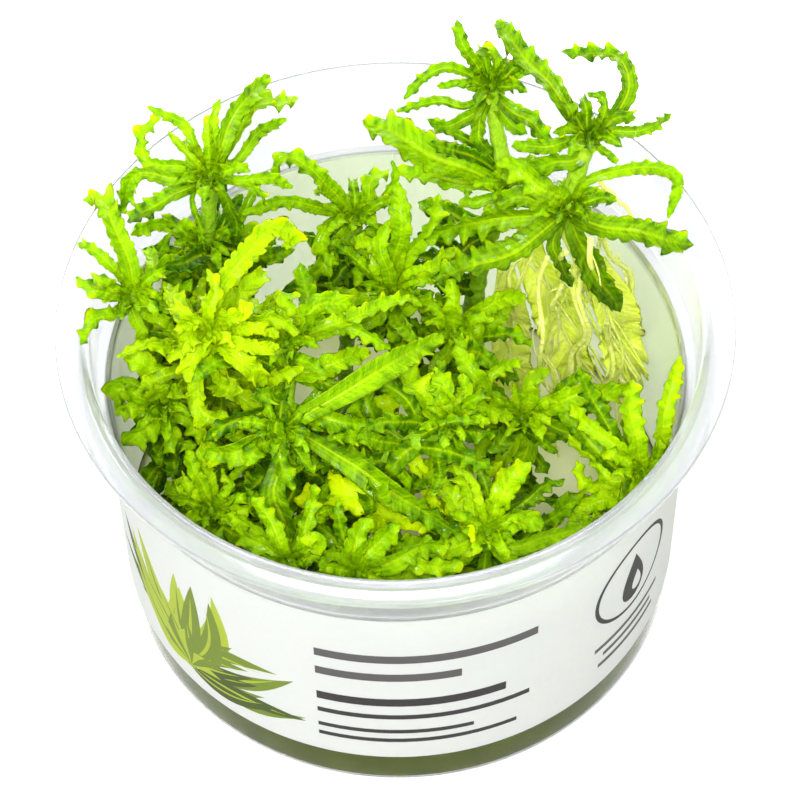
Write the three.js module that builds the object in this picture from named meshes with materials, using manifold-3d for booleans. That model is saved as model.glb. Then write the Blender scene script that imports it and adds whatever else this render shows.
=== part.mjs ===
// Clear round cup of young water plants, a tissue culture: a flanged cup with a paper band round it,
// a layer of nutrient gel in its base, and a tangle of plantlets that stand in the gel.
// Millimetres, +Z up. The origin is on the cup's axis, in the plane of its flat base.
// Each stem ends in a whorl of leaves round a small bud. The leaf midlines are lists of places.

import * as THREE from "three";
import { mergeVertices } from "three/addons/utils/BufferGeometryUtils.js";
import Module from "manifold-3d";

const wasm = await Module();
wasm.setup();

// Driving dimensions of the cup
const RIM_RADIUS = 50.5;
const RIM_HEIGHT = 62.2;
const RIM_THICKNESS = 1.2;
const BASE_RADIUS = 44.0;
const BASE_CORNER = 1.0;
const SHOULDER_HEIGHT = 49.4;
const SHOULDER_RADIUS = 44.2;
const COLLAR_RADIUS = 46.0;
const COLLAR_TOP_RADIUS = 46.6;
const COLLAR_STEP = 1.2;
const FLARE_HEIGHT = 2.6;
const LIP_DEPTH = 0.8;
const WALL = 0.9;
const FLOOR = 1.2;
const ROUND_STEPS = 36;
const GEL_STEPS = 24;

// The paper band and the gel
const BAND_BOTTOM = 8;
const BAND_TOP = 48;
const BAND_THICKNESS = 0.3;
const GEL_TOP = 9.5;
const GEL_EDGE = 0.4;

// The gap that every piece keeps to its neighbours
const GAP = 0.3;

// Leaves
const LEAF_STEP = 5.5;
const LEAF_SECTIONS = [3, 5];
const LEAF_KEEL = 0.17;
const LEAF_KEEL_LEAST = 0.35;
const LEAF_RIDGE = 0.1;
const LEAF_WAVE = 0.09;
const PETIOLE = 0.18;
const WIDEST = 0.45;
const TIP_START = 0.72;
const TIP_END = 1.04;
const MIDLINE_STEPS = 24;
const FACING = new THREE.Vector3(0, -0.584, 0.812);
const ROLL = 0.45;
const ROLL_TURN = 2.4;
const BUD_SHARE = 1.5;
const LEAF_ROOT = 0.15;

// Stems and roots, and how much wider than a stem its room is
const STEM_SIDES = 5;
const ROOT_SIDES = 4;
const ROOT_STEPS = 5;
const STEM_ROOM = 1.3 * GAP;
const LEAF_SPARE = 1.1 * GAP;

// Room that a leaf looks for when it settles, and how far it may move along its facing direction
const ROOM = 1.7;
const BLADE_STEP = 1.3;
const BLADE_REACH = 0.4;
const FIRST_LIFT = 0.6;
const LIFTS = [0, 1, -1, 2, -2, 3, -3, 4, -4, 5, -5, 6, -6, 7, -7];
const WALL_ROOM = 42.5;
const WALL_ROOM_TOP = 63.8;
const GEL_ROOM = 1;

const COLOURS = {
  clear: { color: 0xe9f2f2, roughness: 0.08, metalness: 0 },
  paper: { color: 0xf6f6f4, roughness: 0.6, metalness: 0 },
  gel: { color: 0xaec070, roughness: 0.15, metalness: 0 },
  leaf: { color: 0x6fb80a, roughness: 0.4, metalness: 0 },
  stem: { color: 0x7fae1c, roughness: 0.4, metalness: 0 },
  root: { color: 0xd9e08c, roughness: 0.45, metalness: 0 },
};

// Stems: name, plant, radius, then the places that the stem passes, from its top down
const STEMS = [
  ["back_left", 1, 1.3, [-27, 17, 74], [-28, 17, 64], [-29, 18, 56]],
  ["back_left_low", 1, 1.55, [-29, 18, 56], [-28, 15, 40], [-26, 12, 24], [-24, 10, 7]],
  ["left", 2, 1.3, [-39, 4, 62], [-37, 3, 50], [-34, 2, 30], [-31, 1, 7]],
  ["left_bright", 3, 1.3, [-27, -7, 67], [-26, -5, 50], [-24, -3, 30], [-22, -2, 7]],
  ["centre_top", 4, 1.3, [-16, -5, 62], [-16, -11, 59.5], [-17, -17, 56]],
  ["centre", 4, 1.5, [-17, -17, 56], [-15, -14, 40], [-13, -11, 24], [-12, -9, 7]],
  ["back_centre", 5, 1.3, [-6, 25, 54], [-7, 25, 40], [-8, 24, 24], [-9, 23, 7]],
  ["back_centre_right", 6, 1.3, [0, 13, 50], [0, 12, 36], [-1, 10, 22], [-2, 9, 7]],
  ["right_back_top", 7, 1.5, [29, 19, 79], [27.5, 17, 74], [26, 14, 69]],
  ["back_right", 7, 1.3, [15, 29, 79], [16, 25, 72], [18, 21, 65]],
  ["right_back", 7, 1.5, [26, 14, 69], [22, 18, 66.5], [18, 21, 65]],
  ["back_arm", 7, 1.7, [18, 21, 65], [14, 22, 50], [12, 20, 30], [11, 18, 7]],
  ["centre_right", 8, 1.3, [9, 8, 47], [9, 7, 34], [9, 6, 20], [9, 5, 7]],
  ["centre_bud", 9, 2.0, [8, -15, 55], [2, -17, 52.5], [-4, -18, 48.5], [-9, -17, 43]],
  ["centre_stalk", 9, 1.8, [-9, -17, 43], [-8, -19, 32], [-6, -19, 20], [-5, -18, 7]],
  ["right_low", 10, 1.3, [19, -5, 42], [19, -3, 30], [19, -1, 18], [19, 0, 7]],
  ["front_right", 11, 1.3, [13, -28, 45], [13, -26, 32], [12, -23, 18], [12, -21, 7]],
  ["front_left", 12, 1.3, [-16, -32, 45], [-15, -30, 32], [-14, -27, 18], [-13, -25, 7]],
  ["front", 13, 1.3, [-6, -34, 44], [-4, -32, 32], [-2, -30, 18], [-1, -28, 7]],
  ["front_leaf", 14, 1.3, [7, -25, 43], [6, -22, 32], [4, -18, 18], [3, -16, 7]],
  ["right_front", 15, 1.3, [37, -16, 42], [35, -14, 30], [33, -12, 18], [32, -11, 7]],
  ["left_front", 16, 1.3, [-35, -6, 48], [-34, -8, 34], [-33, -10, 20], [-32, -11, 7]],
  ["front_left_low", 17, 1.3, [-28, -21, 42], [-27, -20, 30], [-25, -19, 18], [-24, -18, 7]],
];

// Whorls: name, plant, place of the bud, then each leaf as its width and the places along its midline
const WHORLS = [
  ["back_left", 1, [-27, 17, 74], [
    [1.8, [-26, 18, 80], [-26, 20, 84], [-25, 22, 86]],
    [3.3, [-25, 18, 80], [-22, 23, 84], [-18, 29, 83]],
    [3.6, [-24, 19, 79], [-20, 24, 82], [-14, 28, 79]],
    [2.1, [-23, 18, 77], [-20, 22, 78], [-16, 26, 77]],
    [2.0, [-29, 19, 79], [-31, 22, 81], [-36, 26, 80]],
    [2.7, [-31, 17, 77], [-36, 18, 77], [-37, 20, 80], [-34, 22, 82]],
    [1.5, [-29, 17, 78], [-31, 19, 79], [-33, 21, 80]],
    [3.0, [-32, 14, 78], [-38, 16, 76], [-41, 16, 68]],
    [3.3, [-31, 14, 75], [-35, 15, 71], [-40, 16, 66]],
    [2.1, [-22, 15, 76], [-18, 16, 75], [-15, 17, 72]],
    [1.5, [-23, 16, 74], [-20, 16, 72], [-19, 16, 69]],
    [2.7, [-25, 16, 71], [-24, 17, 64], [-24, 17, 58]],
    [1.2, [-30, 17, 70], [-29, 15, 64], [-29, 14, 59]],
    [1.7, [-27, 18, 80], [-27, 20, 83], [-26, 21, 84]],
  ]],
  ["right_back_top", 7, [29, 19, 79], [
    [3.0, [32, 19, 83], [35, 23, 86], [33, 29, 86], [26, 33, 83]],
    [2.1, [32, 18, 82], [36, 17, 83], [41, 21, 82]],
    [1.8, [31, 20, 83], [31, 22, 85], [29, 23, 85]],
    [2.3, [27, 20, 82], [26, 21, 84], [25, 24, 84]],
    [1.5, [31, 17, 79], [32, 17, 78], [33, 17, 76]],
    [2.7, [26, 18, 80], [22, 17, 80], [18, 19, 78]],
    [4.2, [26, 21, 83], [22, 26, 86], [16, 37, 85]],
    [3.6, [27, 17, 77], [23, 17, 76], [20, 18, 74]],
  ]],
  ["back_right", 7, [15, 29, 79], [
    [2.4, [13, 30, 83], [11, 30, 87], [10, 34, 89]],
    [2.1, [11, 30, 82], [7, 30, 83], [2, 28, 79]],
    [1.5, [12, 28, 81], [10, 29, 81], [7, 30, 79]],
    [1.8, [11, 26, 79], [7, 27, 79], [1, 28, 76]],
    [2.7, [12, 26, 77], [9, 25, 76], [6, 26, 75]],
    [3.3, [17, 26, 79], [21, 23, 78], [24, 21, 76]],
    [3.0, [16, 30, 82], [15, 32, 84], [13, 32, 84]],
    [2.4, [18, 29, 82], [20, 30, 83], [19, 32, 84]],
    [2.4, [16, 27, 77], [18, 25, 76], [20, 24, 75]],
    [2.7, [13, 25, 76], [13, 24, 74], [15, 23, 72]],
  ]],
  ["right_back", 7, [26, 14, 69], [
    [4.8, [29, 10, 71], [35, 8, 71], [44, 8, 68]],
    [5.5, [22, 10, 69], [15, 6, 67], [6, 7, 63]],
    [4.5, [22, 13, 69], [15, 14, 67], [5, 15, 62]],
    [4.8, [28, 12, 63], [30, 11, 59], [34, 8, 52]],
    [2.7, [24, 12, 64], [25, 11, 60], [27, 10, 56]],
    [4.8, [24, 13, 73], [20, 15, 75], [16, 18, 75]],
    [2.4, [29, 14, 76], [37, 16, 76], [42, 16, 73], [41, 13, 68]],
    [3.6, [23, 13, 72], [19, 15, 71], [16, 15, 69]],
  ]],
  ["back_arm", 7, [18, 21, 65], [
    [6.1, [12, 22, 69], [4, 25, 71], [-4, 32, 69]],
    [3.9, [13, 22, 66], [7, 23, 66], [1, 26, 65]],
    [2.4, [16, 21, 64], [12, 21, 63], [11, 24, 63]],
    [2.7, [16, 21, 62], [15, 20, 60], [14, 19, 57]],
  ]],
  ["left_bright", 3, [-27, -7, 67], [
    [3.9, [-26, -3, 71], [-22, 0, 76], [-18, 5, 77], [-15, 6, 74], [-16, 6, 72]],
    [3.6, [-28, -10, 68], [-30, -11, 66], [-30, -12, 63]],
    [2.4, [-29, -9, 69], [-31, -10, 68], [-33, -10, 66]],
    [3.9, [-29, -11, 63], [-29, -13, 58], [-25, -15, 57], [-21, -15, 55]],
    [3.3, [-26, -10, 63], [-24, -12, 60], [-19, -14, 57]],
    [3.6, [-24, -11, 69], [-21, -13, 67], [-19, -13, 63]],
    [2.6, [-24, -10, 70], [-21, -11, 70], [-17, -10, 68]],
    [3.0, [-24, -7, 71], [-22, -7, 72], [-21, -5, 72]],
    [2.6, [-22, -8, 70], [-19, -8, 70], [-17, -8, 68]],
    [2.3, [-27, -6, 72], [-26, -4, 74], [-27, -1, 75]],
    [3.0, [-28, -7, 71], [-30, -7, 70], [-31, -8, 67]],
  ]],
  ["left", 2, [-39, 4, 62], [
    [3.9, [-39, 7, 65], [-41, 12, 69], [-43, 17, 69], [-46, 18, 68]],
    [2.1, [-41, 6, 66], [-44, 8, 68], [-47, 11, 67]],
    [2.7, [-42, 2, 66], [-44, 2, 67], [-47, 4, 67]],
    [3.0, [-41, -1, 65], [-44, -3, 66], [-46, -6, 65]],
    [3.3, [-37, 8, 62], [-34, 11, 61], [-31, 16, 58]],
    [2.6, [-35, 3, 62], [-32, 3, 61], [-30, 5, 60]],
    [2.4, [-37, 2, 61], [-34, 2, 59], [-33, 4, 57]],
    [2.4, [-37, 5, 64], [-36, 8, 65], [-37, 13, 63]],
    [2.4, [-39, 2, 62], [-38, 0, 60], [-38, -1, 57]],
  ]],
  ["centre_top", 4, [-16, -5, 62], [
    [3.9, [-14, -10, 62], [-9, -9, 63], [-4, -6, 61]],
    [2.7, [-12, -5, 64], [-7, -4, 65], [-1, -6, 62]],
    [3.0, [-12, -5, 65], [-6, -3, 66], [2, 2, 64]],
    [3.3, [-16, -4, 65], [-16, -2, 67], [-18, 1, 66]],
    [4.2, [-14, -4, 66], [-11, -2, 68], [-6, -1, 65]],
    [2.3, [-14, -4, 67], [-16, -2, 69], [-14, -1, 69]],
    [2.4, [-18, -4, 63], [-20, -1, 64], [-21, 3, 63]],
    [2.4, [-13, -2, 64], [-11, -2, 62], [-13, -3, 60]],
  ]],
  ["centre", 4, [-17, -17, 56], [
    [4.1, [-13, -16, 60], [-6, -13, 62], [1, -8, 63], [7, -3, 61]],
    [4.2, [-13, -19, 58], [-7, -23, 57], [0, -27, 54], [10, -30, 48]],
    [4.2, [-20, -18, 56], [-24, -19, 55], [-28, -18, 52]],
    [4.5, [-17, -20, 54], [-18, -24, 51], [-16, -30, 46]],
    [3.6, [-16, -19, 54], [-15, -20, 53], [-14, -19, 54]],
    [2.0, [-19, -16, 57], [-21, -16, 57], [-23, -15, 57]],
  ]],
  ["back_centre_right", 6, [0, 13, 50], [
    [3.9, [0, 15, 56], [1, 17, 62], [1, 22, 66]],
    [3.3, [1, 15, 55], [5, 17, 60], [7, 22, 63]],
    [3.3, [-2, 15, 54], [-3, 17, 57], [-6, 19, 57]],
    [3.0, [-2, 12, 52], [-5, 11, 52], [-10, 11, 53]],
    [3.0, [2, 13, 54], [6, 14, 56], [9, 17, 56]],
    [2.7, [-1, 13, 56], [-2, 15, 60], [-1, 18, 62]],
    [3.0, [1, 10, 50], [4, 11, 52], [7, 10, 51]],
    [3.0, [-2, 10, 50], [-4, 9, 49], [-7, 9, 47]],
  ]],
  ["back_centre", 5, [-6, 25, 54], [
    [3.3, [-9, 25, 61], [-13, 25, 67], [-16, 26, 68], [-18, 25, 66]],
    [1.8, [-9, 26, 58], [-11, 27, 59], [-12, 28, 57]],
    [2.7, [-11, 25, 57], [-17, 24, 60], [-23, 22, 60]],
    [3.0, [-10, 22, 56], [-11, 19, 55], [-9, 18, 52]],
    [3.6, [-8, 23, 52], [-11, 20, 50], [-14, 18, 46]],
    [3.3, [-4, 26, 58], [-3, 28, 60], [-1, 30, 60]],
    [1.8, [-3, 25, 57], [0, 27, 60], [0, 29, 63]],
    [3.3, [-7, 23, 52], [-5, 20, 50], [-6, 17, 48]],
  ]],
  ["centre_bud", 9, [8, -15, 55], [
    [1.2, [9, -14, 56], [10, -13, 57]],
    [1.5, [10, -15, 56], [13, -14, 56]],
    [1.4, [11, -17, 55], [14, -16, 54]],
    [5.5, [5, -14, 58], [3, -12, 60], [1, -8, 61]],
    [3.3, [7, -14, 58], [7, -12, 60], [6, -9, 61]],
    [3.0, [9, -14, 58], [10, -12, 59], [10, -9, 59]],
    [2.7, [12, -12, 55], [15, -13, 55], [17, -12, 52]],
    [3.6, [13, -8, 54], [11, -7, 57], [9, -3, 58]],
    [2.4, [13, -6, 53], [16, -4, 54], [19, -2, 53]],
  ]],
  ["centre_stalk", 9, [-9, -17, 43], [
    [4.2, [-8, -14, 47], [-4, -10, 50], [2, -7, 52]],
  ]],
  ["back_left_low", 1, [-29, 18, 56], [
    [2.6, [-31, 19, 58], [-36, 19, 61], [-40, 16, 63]],
    [2.3, [-30, 19, 58], [-31, 19, 60], [-32, 20, 61]],
    [2.4, [-30, 16, 56], [-32, 15, 55], [-34, 14, 53]],
    [2.7, [-26, 16, 55], [-24, 15, 53], [-24, 14, 50]],
    [2.7, [-25, 19, 57], [-22, 21, 57], [-20, 20, 54]],
    [2.4, [-30, 15, 58], [-31, 14, 58], [-31, 14, 56]],
  ]],
  ["centre_right", 8, [9, 8, 47], [
    [3.3, [13, 10, 50], [16, 11, 51], [20, 13, 49]],
    [3.0, [7, 9, 50], [5, 10, 51], [2, 13, 50]],
    [3.6, [9, 9, 51], [9, 11, 53], [7, 13, 53]],
    [2.7, [13, 8, 47], [16, 10, 48], [17, 13, 47]],
    [3.0, [8, 5, 46], [6, 2, 45], [8, 0, 43]],
    [2.7, [11, 6, 47], [13, 7, 49], [12, 10, 50]],
    [3.3, [7, 6, 48], [4, 4, 49], [0, 5, 48]],
  ]],
  ["right_low", 10, [19, -5, 42], [
    [3.9, [23, -5, 45], [29, -4, 47], [36, -2, 45]],
    [3.3, [20, -5, 47], [20, -4, 50], [23, -1, 49]],
    [3.0, [17, -6, 45], [15, -6, 47], [14, -4, 47]],
    [3.0, [18, -7, 40], [16, -10, 37], [16, -13, 34]],
    [3.6, [20, -7, 38], [19, -9, 34], [20, -12, 30]],
    [3.3, [16, -8, 42], [12, -11, 42], [11, -14, 41]],
  ]],
  ["front_right", 11, [13, -28, 45], [
    [4.5, [14, -26, 49], [16, -24, 52], [19, -21, 53]],
    [4.1, [16, -28, 48], [18, -27, 48], [21, -27, 46]],
    [3.6, [11, -26, 48], [10, -21, 49], [8, -15, 48]],
    [3.9, [10, -27, 47], [7, -22, 48], [4, -16, 47]],
    [1.7, [12, -26, 50], [11, -23, 52], [8, -21, 53]],
    [1.9, [12, -30, 47], [10, -32, 47], [10, -30, 48]],
    [3.6, [17, -30, 45], [22, -28, 44], [30, -23, 42]],
    [3.0, [15, -31, 44], [19, -32, 42], [24, -28, 41]],
    [3.6, [10, -30, 46], [5, -31, 46], [0, -29, 45]],
  ]],
  ["front", 13, [-6, -34, 44], [
    [3.9, [-5, -33, 48], [-2, -31, 50], [0, -30, 51]],
    [3.9, [-7, -33, 48], [-6, -31, 50], [-4, -29, 51]],
    [3.0, [-8, -33, 47], [-11, -32, 48], [-12, -31, 48]],
    [4.1, [-2, -34, 47], [2, -32, 48], [7, -30, 46]],
    [3.0, [-3, -34, 45], [0, -35, 44], [4, -32, 42]],
    [3.0, [-9, -34, 45], [-11, -34, 44], [-13, -33, 43]],
    [3.3, [0, -33, 46], [5, -33, 45], [9, -32, 44]],
  ]],
  ["front_left", 12, [-16, -32, 45], [
    [3.0, [-17, -32, 49], [-19, -29, 52], [-21, -26, 53]],
    [2.7, [-14, -32, 49], [-13, -28, 52], [-12, -24, 53]],
    [3.6, [-18, -33, 48], [-21, -31, 49], [-24, -28, 48]],
    [3.6, [-14, -33, 48], [-12, -32, 50], [-14, -32, 51]],
    [3.0, [-19, -30, 47], [-22, -27, 47], [-26, -24, 45]],
    [3.0, [-18, -32, 44], [-20, -31, 43], [-23, -29, 42]],
  ]],
  ["front_leaf", 14, [7, -25, 43], [
    [7.0, [0, -24, 46], [-7, -23, 48], [-15, -21, 46]],
  ]],
  ["right_front", 15, [37, -16, 42], [
    [3.9, [36, -15, 47], [35, -13, 52], [35, -8, 55]],
    [2.9, [39, -14, 47], [40, -12, 53], [42, -5, 57]],
    [1.8, [40, -14, 46], [41, -14, 50], [43, -12, 51]],
    [2.1, [39, -15, 47], [39, -13, 50], [41, -12, 52]],
    [3.0, [35, -15, 45], [31, -13, 48], [26, -7, 48]],
    [2.0, [35, -16, 42], [34, -17, 41], [32, -18, 40]],
    [2.7, [32, -16, 41], [29, -12, 42], [26, -9, 43]],
    [2.7, [31, -16, 40], [28, -16, 41], [27, -13, 42]],
    [3.3, [34, -18, 40], [30, -19, 40], [26, -21, 38]],
  ]],
  ["left_front", 16, [-35, -6, 48], [
    [4.5, [-36, -6, 53], [-37, -4, 56], [-40, -2, 57]],
    [1.8, [-34, -6, 52], [-34, -6, 54], [-34, -6, 56]],
    [2.0, [-32, -6, 50], [-31, -6, 52], [-31, -4, 53]],
    [2.6, [-37, -7, 51], [-39, -7, 53], [-40, -5, 53]],
    [3.0, [-37, -8, 50], [-40, -8, 51], [-42, -8, 49]],
    [4.5, [-37, -9, 48], [-39, -10, 47], [-41, -10, 44]],
    [3.0, [-32, -8, 48], [-30, -10, 48], [-28, -11, 46]],
    [2.6, [-34, -10, 48], [-34, -11, 47], [-35, -12, 45]],
    [4.2, [-39, -5, 50], [-42, -5, 51], [-44, -6, 47]],
  ]],
  ["front_left_low", 17, [-28, -21, 42], [
    [2.6, [-29, -20, 47], [-30, -19, 50], [-31, -16, 51]],
    [3.0, [-28, -19, 47], [-29, -17, 50], [-28, -14, 50]],
    [2.1, [-26, -21, 46], [-25, -20, 48], [-26, -18, 49]],
    [2.6, [-25, -23, 45], [-22, -23, 46], [-21, -23, 44]],
    [2.6, [-29, -21, 44], [-31, -20, 46], [-33, -18, 46]],
    [1.4, [-26, -19, 45], [-23, -17, 48], [-21, -16, 47]],
    [3.0, [-30, -21, 42], [-32, -19, 42], [-35, -15, 41]],
    [3.0, [-25, -22, 41], [-22, -23, 41], [-19, -24, 39]],
  ]],
];

// Roots that hang from the highest plant to the gel: radius, then the places along each
const ROOTS = [
  [0.55, [29, 11, 66], [32, 12, 50], [34, 14, 32], [33, 15, 10.5]],
  [0.45, [26, 10, 65], [25, 14, 48], [25, 18, 30], [22, 20, 10.5]],
  [0.5, [31, 14, 64], [36, 18, 48], [37, 20, 30], [36, 12, 10.5]],
  [0.45, [23, 10, 63], [22, 8, 48], [24, 8, 30], [26, 10, 10.5]],
  [0.4, [33, 17, 63], [31, 22, 48], [29, 25, 30], [28, 26, 10.5]],
  [0.4, [22, 17, 62], [18, 18, 46], [18, 20, 30], [17, 24, 10.5]],
];

// Solids and meshes

function toSolid(geometry) {
  const plain = geometry.index ? geometry.clone() : geometry;
  plain.deleteAttribute("normal");
  plain.deleteAttribute("uv");
  const merged = mergeVertices(plain, 1e-4);
  return new wasm.Manifold(new wasm.Mesh({
    numProp: 3,
    vertProperties: new Float32Array(merged.attributes.position.array),
    triVerts: new Uint32Array(merged.index.array),
  }));
}

function toGeometry(solid) {
  const mesh = solid.getMesh();
  const geometry = new THREE.BufferGeometry();
  const positions = new Float32Array(mesh.numVert * 3);
  for (let i = 0; i < mesh.numVert; i += 1) {
    for (let k = 0; k < 3; k += 1) {
      positions[3 * i + k] = mesh.vertProperties[mesh.numProp * i + k];
    }
  }
  geometry.setAttribute("position", new THREE.BufferAttribute(positions, 3));
  geometry.setIndex(new THREE.BufferAttribute(new Uint32Array(mesh.triVerts), 1));
  geometry.computeVertexNormals();
  return geometry;
}

function lathe(profile, steps) {
  const points = profile.map(([r, z]) => new THREE.Vector2(r, z));
  const geometry = new THREE.LatheGeometry(points, steps);
  geometry.rotateX(Math.PI / 2);
  return geometry;
}

// The cup's profile, offset by a distance outwards from its material

function cupProfile(offset) {
  const innerFloor = FLOOR + offset;
  const collar = SHOULDER_HEIGHT + COLLAR_STEP;
  return [
    [0, -offset],
    [BASE_RADIUS - BASE_CORNER + offset, -offset],
    [BASE_RADIUS + offset, BASE_CORNER],
    [SHOULDER_RADIUS + offset, SHOULDER_HEIGHT],
    [COLLAR_RADIUS + offset, collar],
    [COLLAR_TOP_RADIUS + offset, RIM_HEIGHT - FLARE_HEIGHT],
    [RIM_RADIUS + offset, RIM_HEIGHT - RIM_THICKNESS - offset],
    [RIM_RADIUS + offset, RIM_HEIGHT + offset],
    [COLLAR_TOP_RADIUS - WALL / 2 - offset, RIM_HEIGHT + offset],
    [COLLAR_TOP_RADIUS - WALL - offset, RIM_HEIGHT - LIP_DEPTH],
    [COLLAR_RADIUS - WALL - offset, collar + WALL],
    [SHOULDER_RADIUS - WALL - offset, SHOULDER_HEIGHT + WALL],
    [BASE_RADIUS - WALL - offset, innerFloor + BASE_CORNER],
    [BASE_RADIUS - WALL - BASE_CORNER - offset, innerFloor],
    [0, innerFloor],
  ];
}

function wallRadius(z) {
  return THREE.MathUtils.mapLinear(z, BASE_CORNER, SHOULDER_HEIGHT, BASE_RADIUS, SHOULDER_RADIUS);
}

function bandProfile() {
  const low = wallRadius(BAND_BOTTOM) + GAP;
  const high = wallRadius(BAND_TOP) + GAP;
  return [
    [low, BAND_BOTTOM],
    [low + BAND_THICKNESS, BAND_BOTTOM],
    [high + BAND_THICKNESS, BAND_TOP],
    [high, BAND_TOP],
    [low, BAND_BOTTOM],
  ];
}

function gelProfile() {
  const bottom = FLOOR + GAP;
  const side = BASE_RADIUS - WALL - GAP;
  return [
    [0, bottom],
    [side - BASE_CORNER, bottom],
    [side, bottom + BASE_CORNER],
    [side, GEL_TOP + GEL_EDGE],
    [side - 1, GEL_TOP],
    [0, GEL_TOP],
  ];
}

// Stems and roots are round tubes along a smooth line

function tube(places, radius, sides, steps) {
  const shape = new THREE.Shape();
  for (let i = 0; i < sides; i += 1) {
    const angle = (2 * Math.PI * i) / sides;
    const x = radius * Math.cos(angle);
    const y = radius * Math.sin(angle);
    if (i === 0) {
      shape.moveTo(x, y);
    } else {
      shape.lineTo(x, y);
    }
  }
  const path = new THREE.CatmullRomCurve3(places.map((p) => new THREE.Vector3(...p)), false, "catmullrom");
  return toSolid(new THREE.ExtrudeGeometry(shape, { steps, extrudePath: path, bevelEnabled: false }));
}

// A bud is a little wider than the widest stem that ends in it

function bud(place, grow) {
  const ends = STEMS.filter((stem) => isSamePlace(place, stem[3], stem.at(-1)));
  const radius = BUD_SHARE * Math.max(...ends.map((stem) => stem[2]));
  const geometry = new THREE.OctahedronGeometry(radius + grow, 0);
  geometry.translate(...place);
  return toSolid(geometry);
}

function isSamePlace(place, ...others) {
  return others.some((other) => place.every((value, k) => value === other[k]));
}

// A leaf's midline: a smooth line through its places, kept off the wall, with its length up to each step

function midline(start, places, lift) {
  const first = new THREE.Vector3(...start);
  const controls = places.map((p, i) => {
    const share = i === 0 ? FIRST_LIFT : 1;
    return new THREE.Vector3(...p).addScaledVector(FACING, lift * share);
  });
  const root = first.clone().lerp(controls[0], LEAF_ROOT);
  const curve = new THREE.CatmullRomCurve3([root, ...controls], false, "catmullrom");
  const points = [];
  for (let i = 0; i <= MIDLINE_STEPS; i += 1) {
    points.push(keepOffWall(curve.getPoint(i / MIDLINE_STEPS)));
  }
  const along = [0];
  for (let i = 1; i <= MIDLINE_STEPS; i += 1) {
    along.push(along[i - 1] + points[i].distanceTo(points[i - 1]));
  }
  return { points, along, length: along[MIDLINE_STEPS] };
}

function keepOffWall(p) {
  const r = Math.hypot(p.x, p.y);
  if (p.z < WALL_ROOM_TOP && r > WALL_ROOM) {
    p.x *= WALL_ROOM / r;
    p.y *= WALL_ROOM / r;
  }
  return p;
}

// The point, direction, side and upper face of a leaf at a share of its length

function frameAt(line, share, roll) {
  const target = share * line.length;
  let i = 1;
  while (i < MIDLINE_STEPS && line.along[i] < target) {
    i += 1;
  }
  const a = line.points[i - 1];
  const b = line.points[i];
  const t = (target - line.along[i - 1]) / Math.max(line.along[i] - line.along[i - 1], 1e-9);
  const point = a.clone().lerp(b, t);
  const before = line.points[Math.max(i - 2, 0)];
  const after = line.points[Math.min(i + 1, MIDLINE_STEPS)];
  const along = after.clone().sub(before).normalize();
  const side = along.clone().cross(FACING).normalize().applyAxisAngle(along, roll);
  const up = side.clone().cross(along);
  return { point, side, up };
}

// How wide a leaf is at a share of its length: a narrow stalk, a long blade and a blunt tip

function widthAt(share) {
  const widening = THREE.MathUtils.smoothstep(share, 0, WIDEST);
  const closing = THREE.MathUtils.smoothstep(share, TIP_START, TIP_END);
  return (PETIOLE + (1 - PETIOLE) * widening) * (1 - closing);
}

// A leaf as a closed solid: a flat upper face, waved margins and a keel. A grown one has a ridge above too.

function leafSolid(line, width, roll, grow) {
  const count = THREE.MathUtils.clamp(Math.round(line.length / LEAF_STEP), ...LEAF_SECTIONS);
  const positions = [];
  const faces = [];
  const sides = grow > 0 ? 4 : 3;
  for (let i = 0; i < count; i += 1) {
    const share = i / count;
    const { point, side, up } = frameAt(line, share, roll);
    const sign = i % 2 === 0 ? 1 : -1;
    const half = (width / 2) * widthAt(share) * (1 + LEAF_WAVE * sign) + grow;
    const wave = width * LEAF_WAVE * sign * share;
    const keel = Math.max(LEAF_KEEL_LEAST, width * LEAF_KEEL * widthAt(share)) + grow;
    const section = [
      point.clone().addScaledVector(side, half).addScaledVector(up, wave),
      point.clone().addScaledVector(side, -half).addScaledVector(up, -wave),
      point.clone().addScaledVector(up, -keel),
    ];
    if (sides === 4) {
      section.splice(1, 0, point.clone().addScaledVector(up, grow + LEAF_RIDGE));
    }
    for (const corner of section) {
      positions.push(...corner.toArray());
    }
    if (i > 0) {
      const low = (i - 1) * sides;
      const high = i * sides;
      for (let k = 0; k < sides; k += 1) {
        const next = (k + 1) % sides;
        faces.push(low + k, high + next, low + next, low + k, high + k, high + next);
      }
    }
  }
  const tip = frameAt(line, 1, roll);
  positions.push(...tip.point.clone().addScaledVector(tip.side.clone().cross(tip.up), -grow).toArray());
  const tipIndex = count * sides;
  const last = (count - 1) * sides;
  for (let k = 0; k < sides; k += 1) {
    faces.push(last + ((k + 1) % sides), last + k, tipIndex);
  }
  for (let k = 1; k < sides - 1; k += 1) {
    faces.push(0, k, k + 1);
  }
  const geometry = new THREE.BufferGeometry();
  geometry.setAttribute("position", new THREE.Float32BufferAttribute(positions, 3));
  geometry.setIndex(faces);
  return toSolid(geometry);
}

// Where something already is: places, each with its owner, kept in cells

const cells = new Map();

function cellKey(x, y, z) {
  return `${Math.floor(x / ROOM)},${Math.floor(y / ROOM)},${Math.floor(z / ROOM)}`;
}

function occupy(point, owner) {
  const key = cellKey(point.x, point.y, point.z);
  if (!cells.has(key)) {
    cells.set(key, []);
  }
  cells.get(key).push([point, owner]);
}

function isFree(point, owners) {
  if (point.z < GEL_TOP + GEL_ROOM) {
    return false;
  }
  for (let i = -1; i <= 1; i += 1) {
    for (let j = -1; j <= 1; j += 1) {
      for (let k = -1; k <= 1; k += 1) {
        const found = cells.get(cellKey(point.x + i * ROOM, point.y + j * ROOM, point.z + k * ROOM)) || [];
        for (const [other, owner] of found) {
          if (!owners.includes(owner) && other.distanceTo(point) < ROOM) {
            return false;
          }
        }
      }
    }
  }
  return true;
}

// Places over a leaf's blade, about as far apart as the room that a leaf needs

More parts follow.
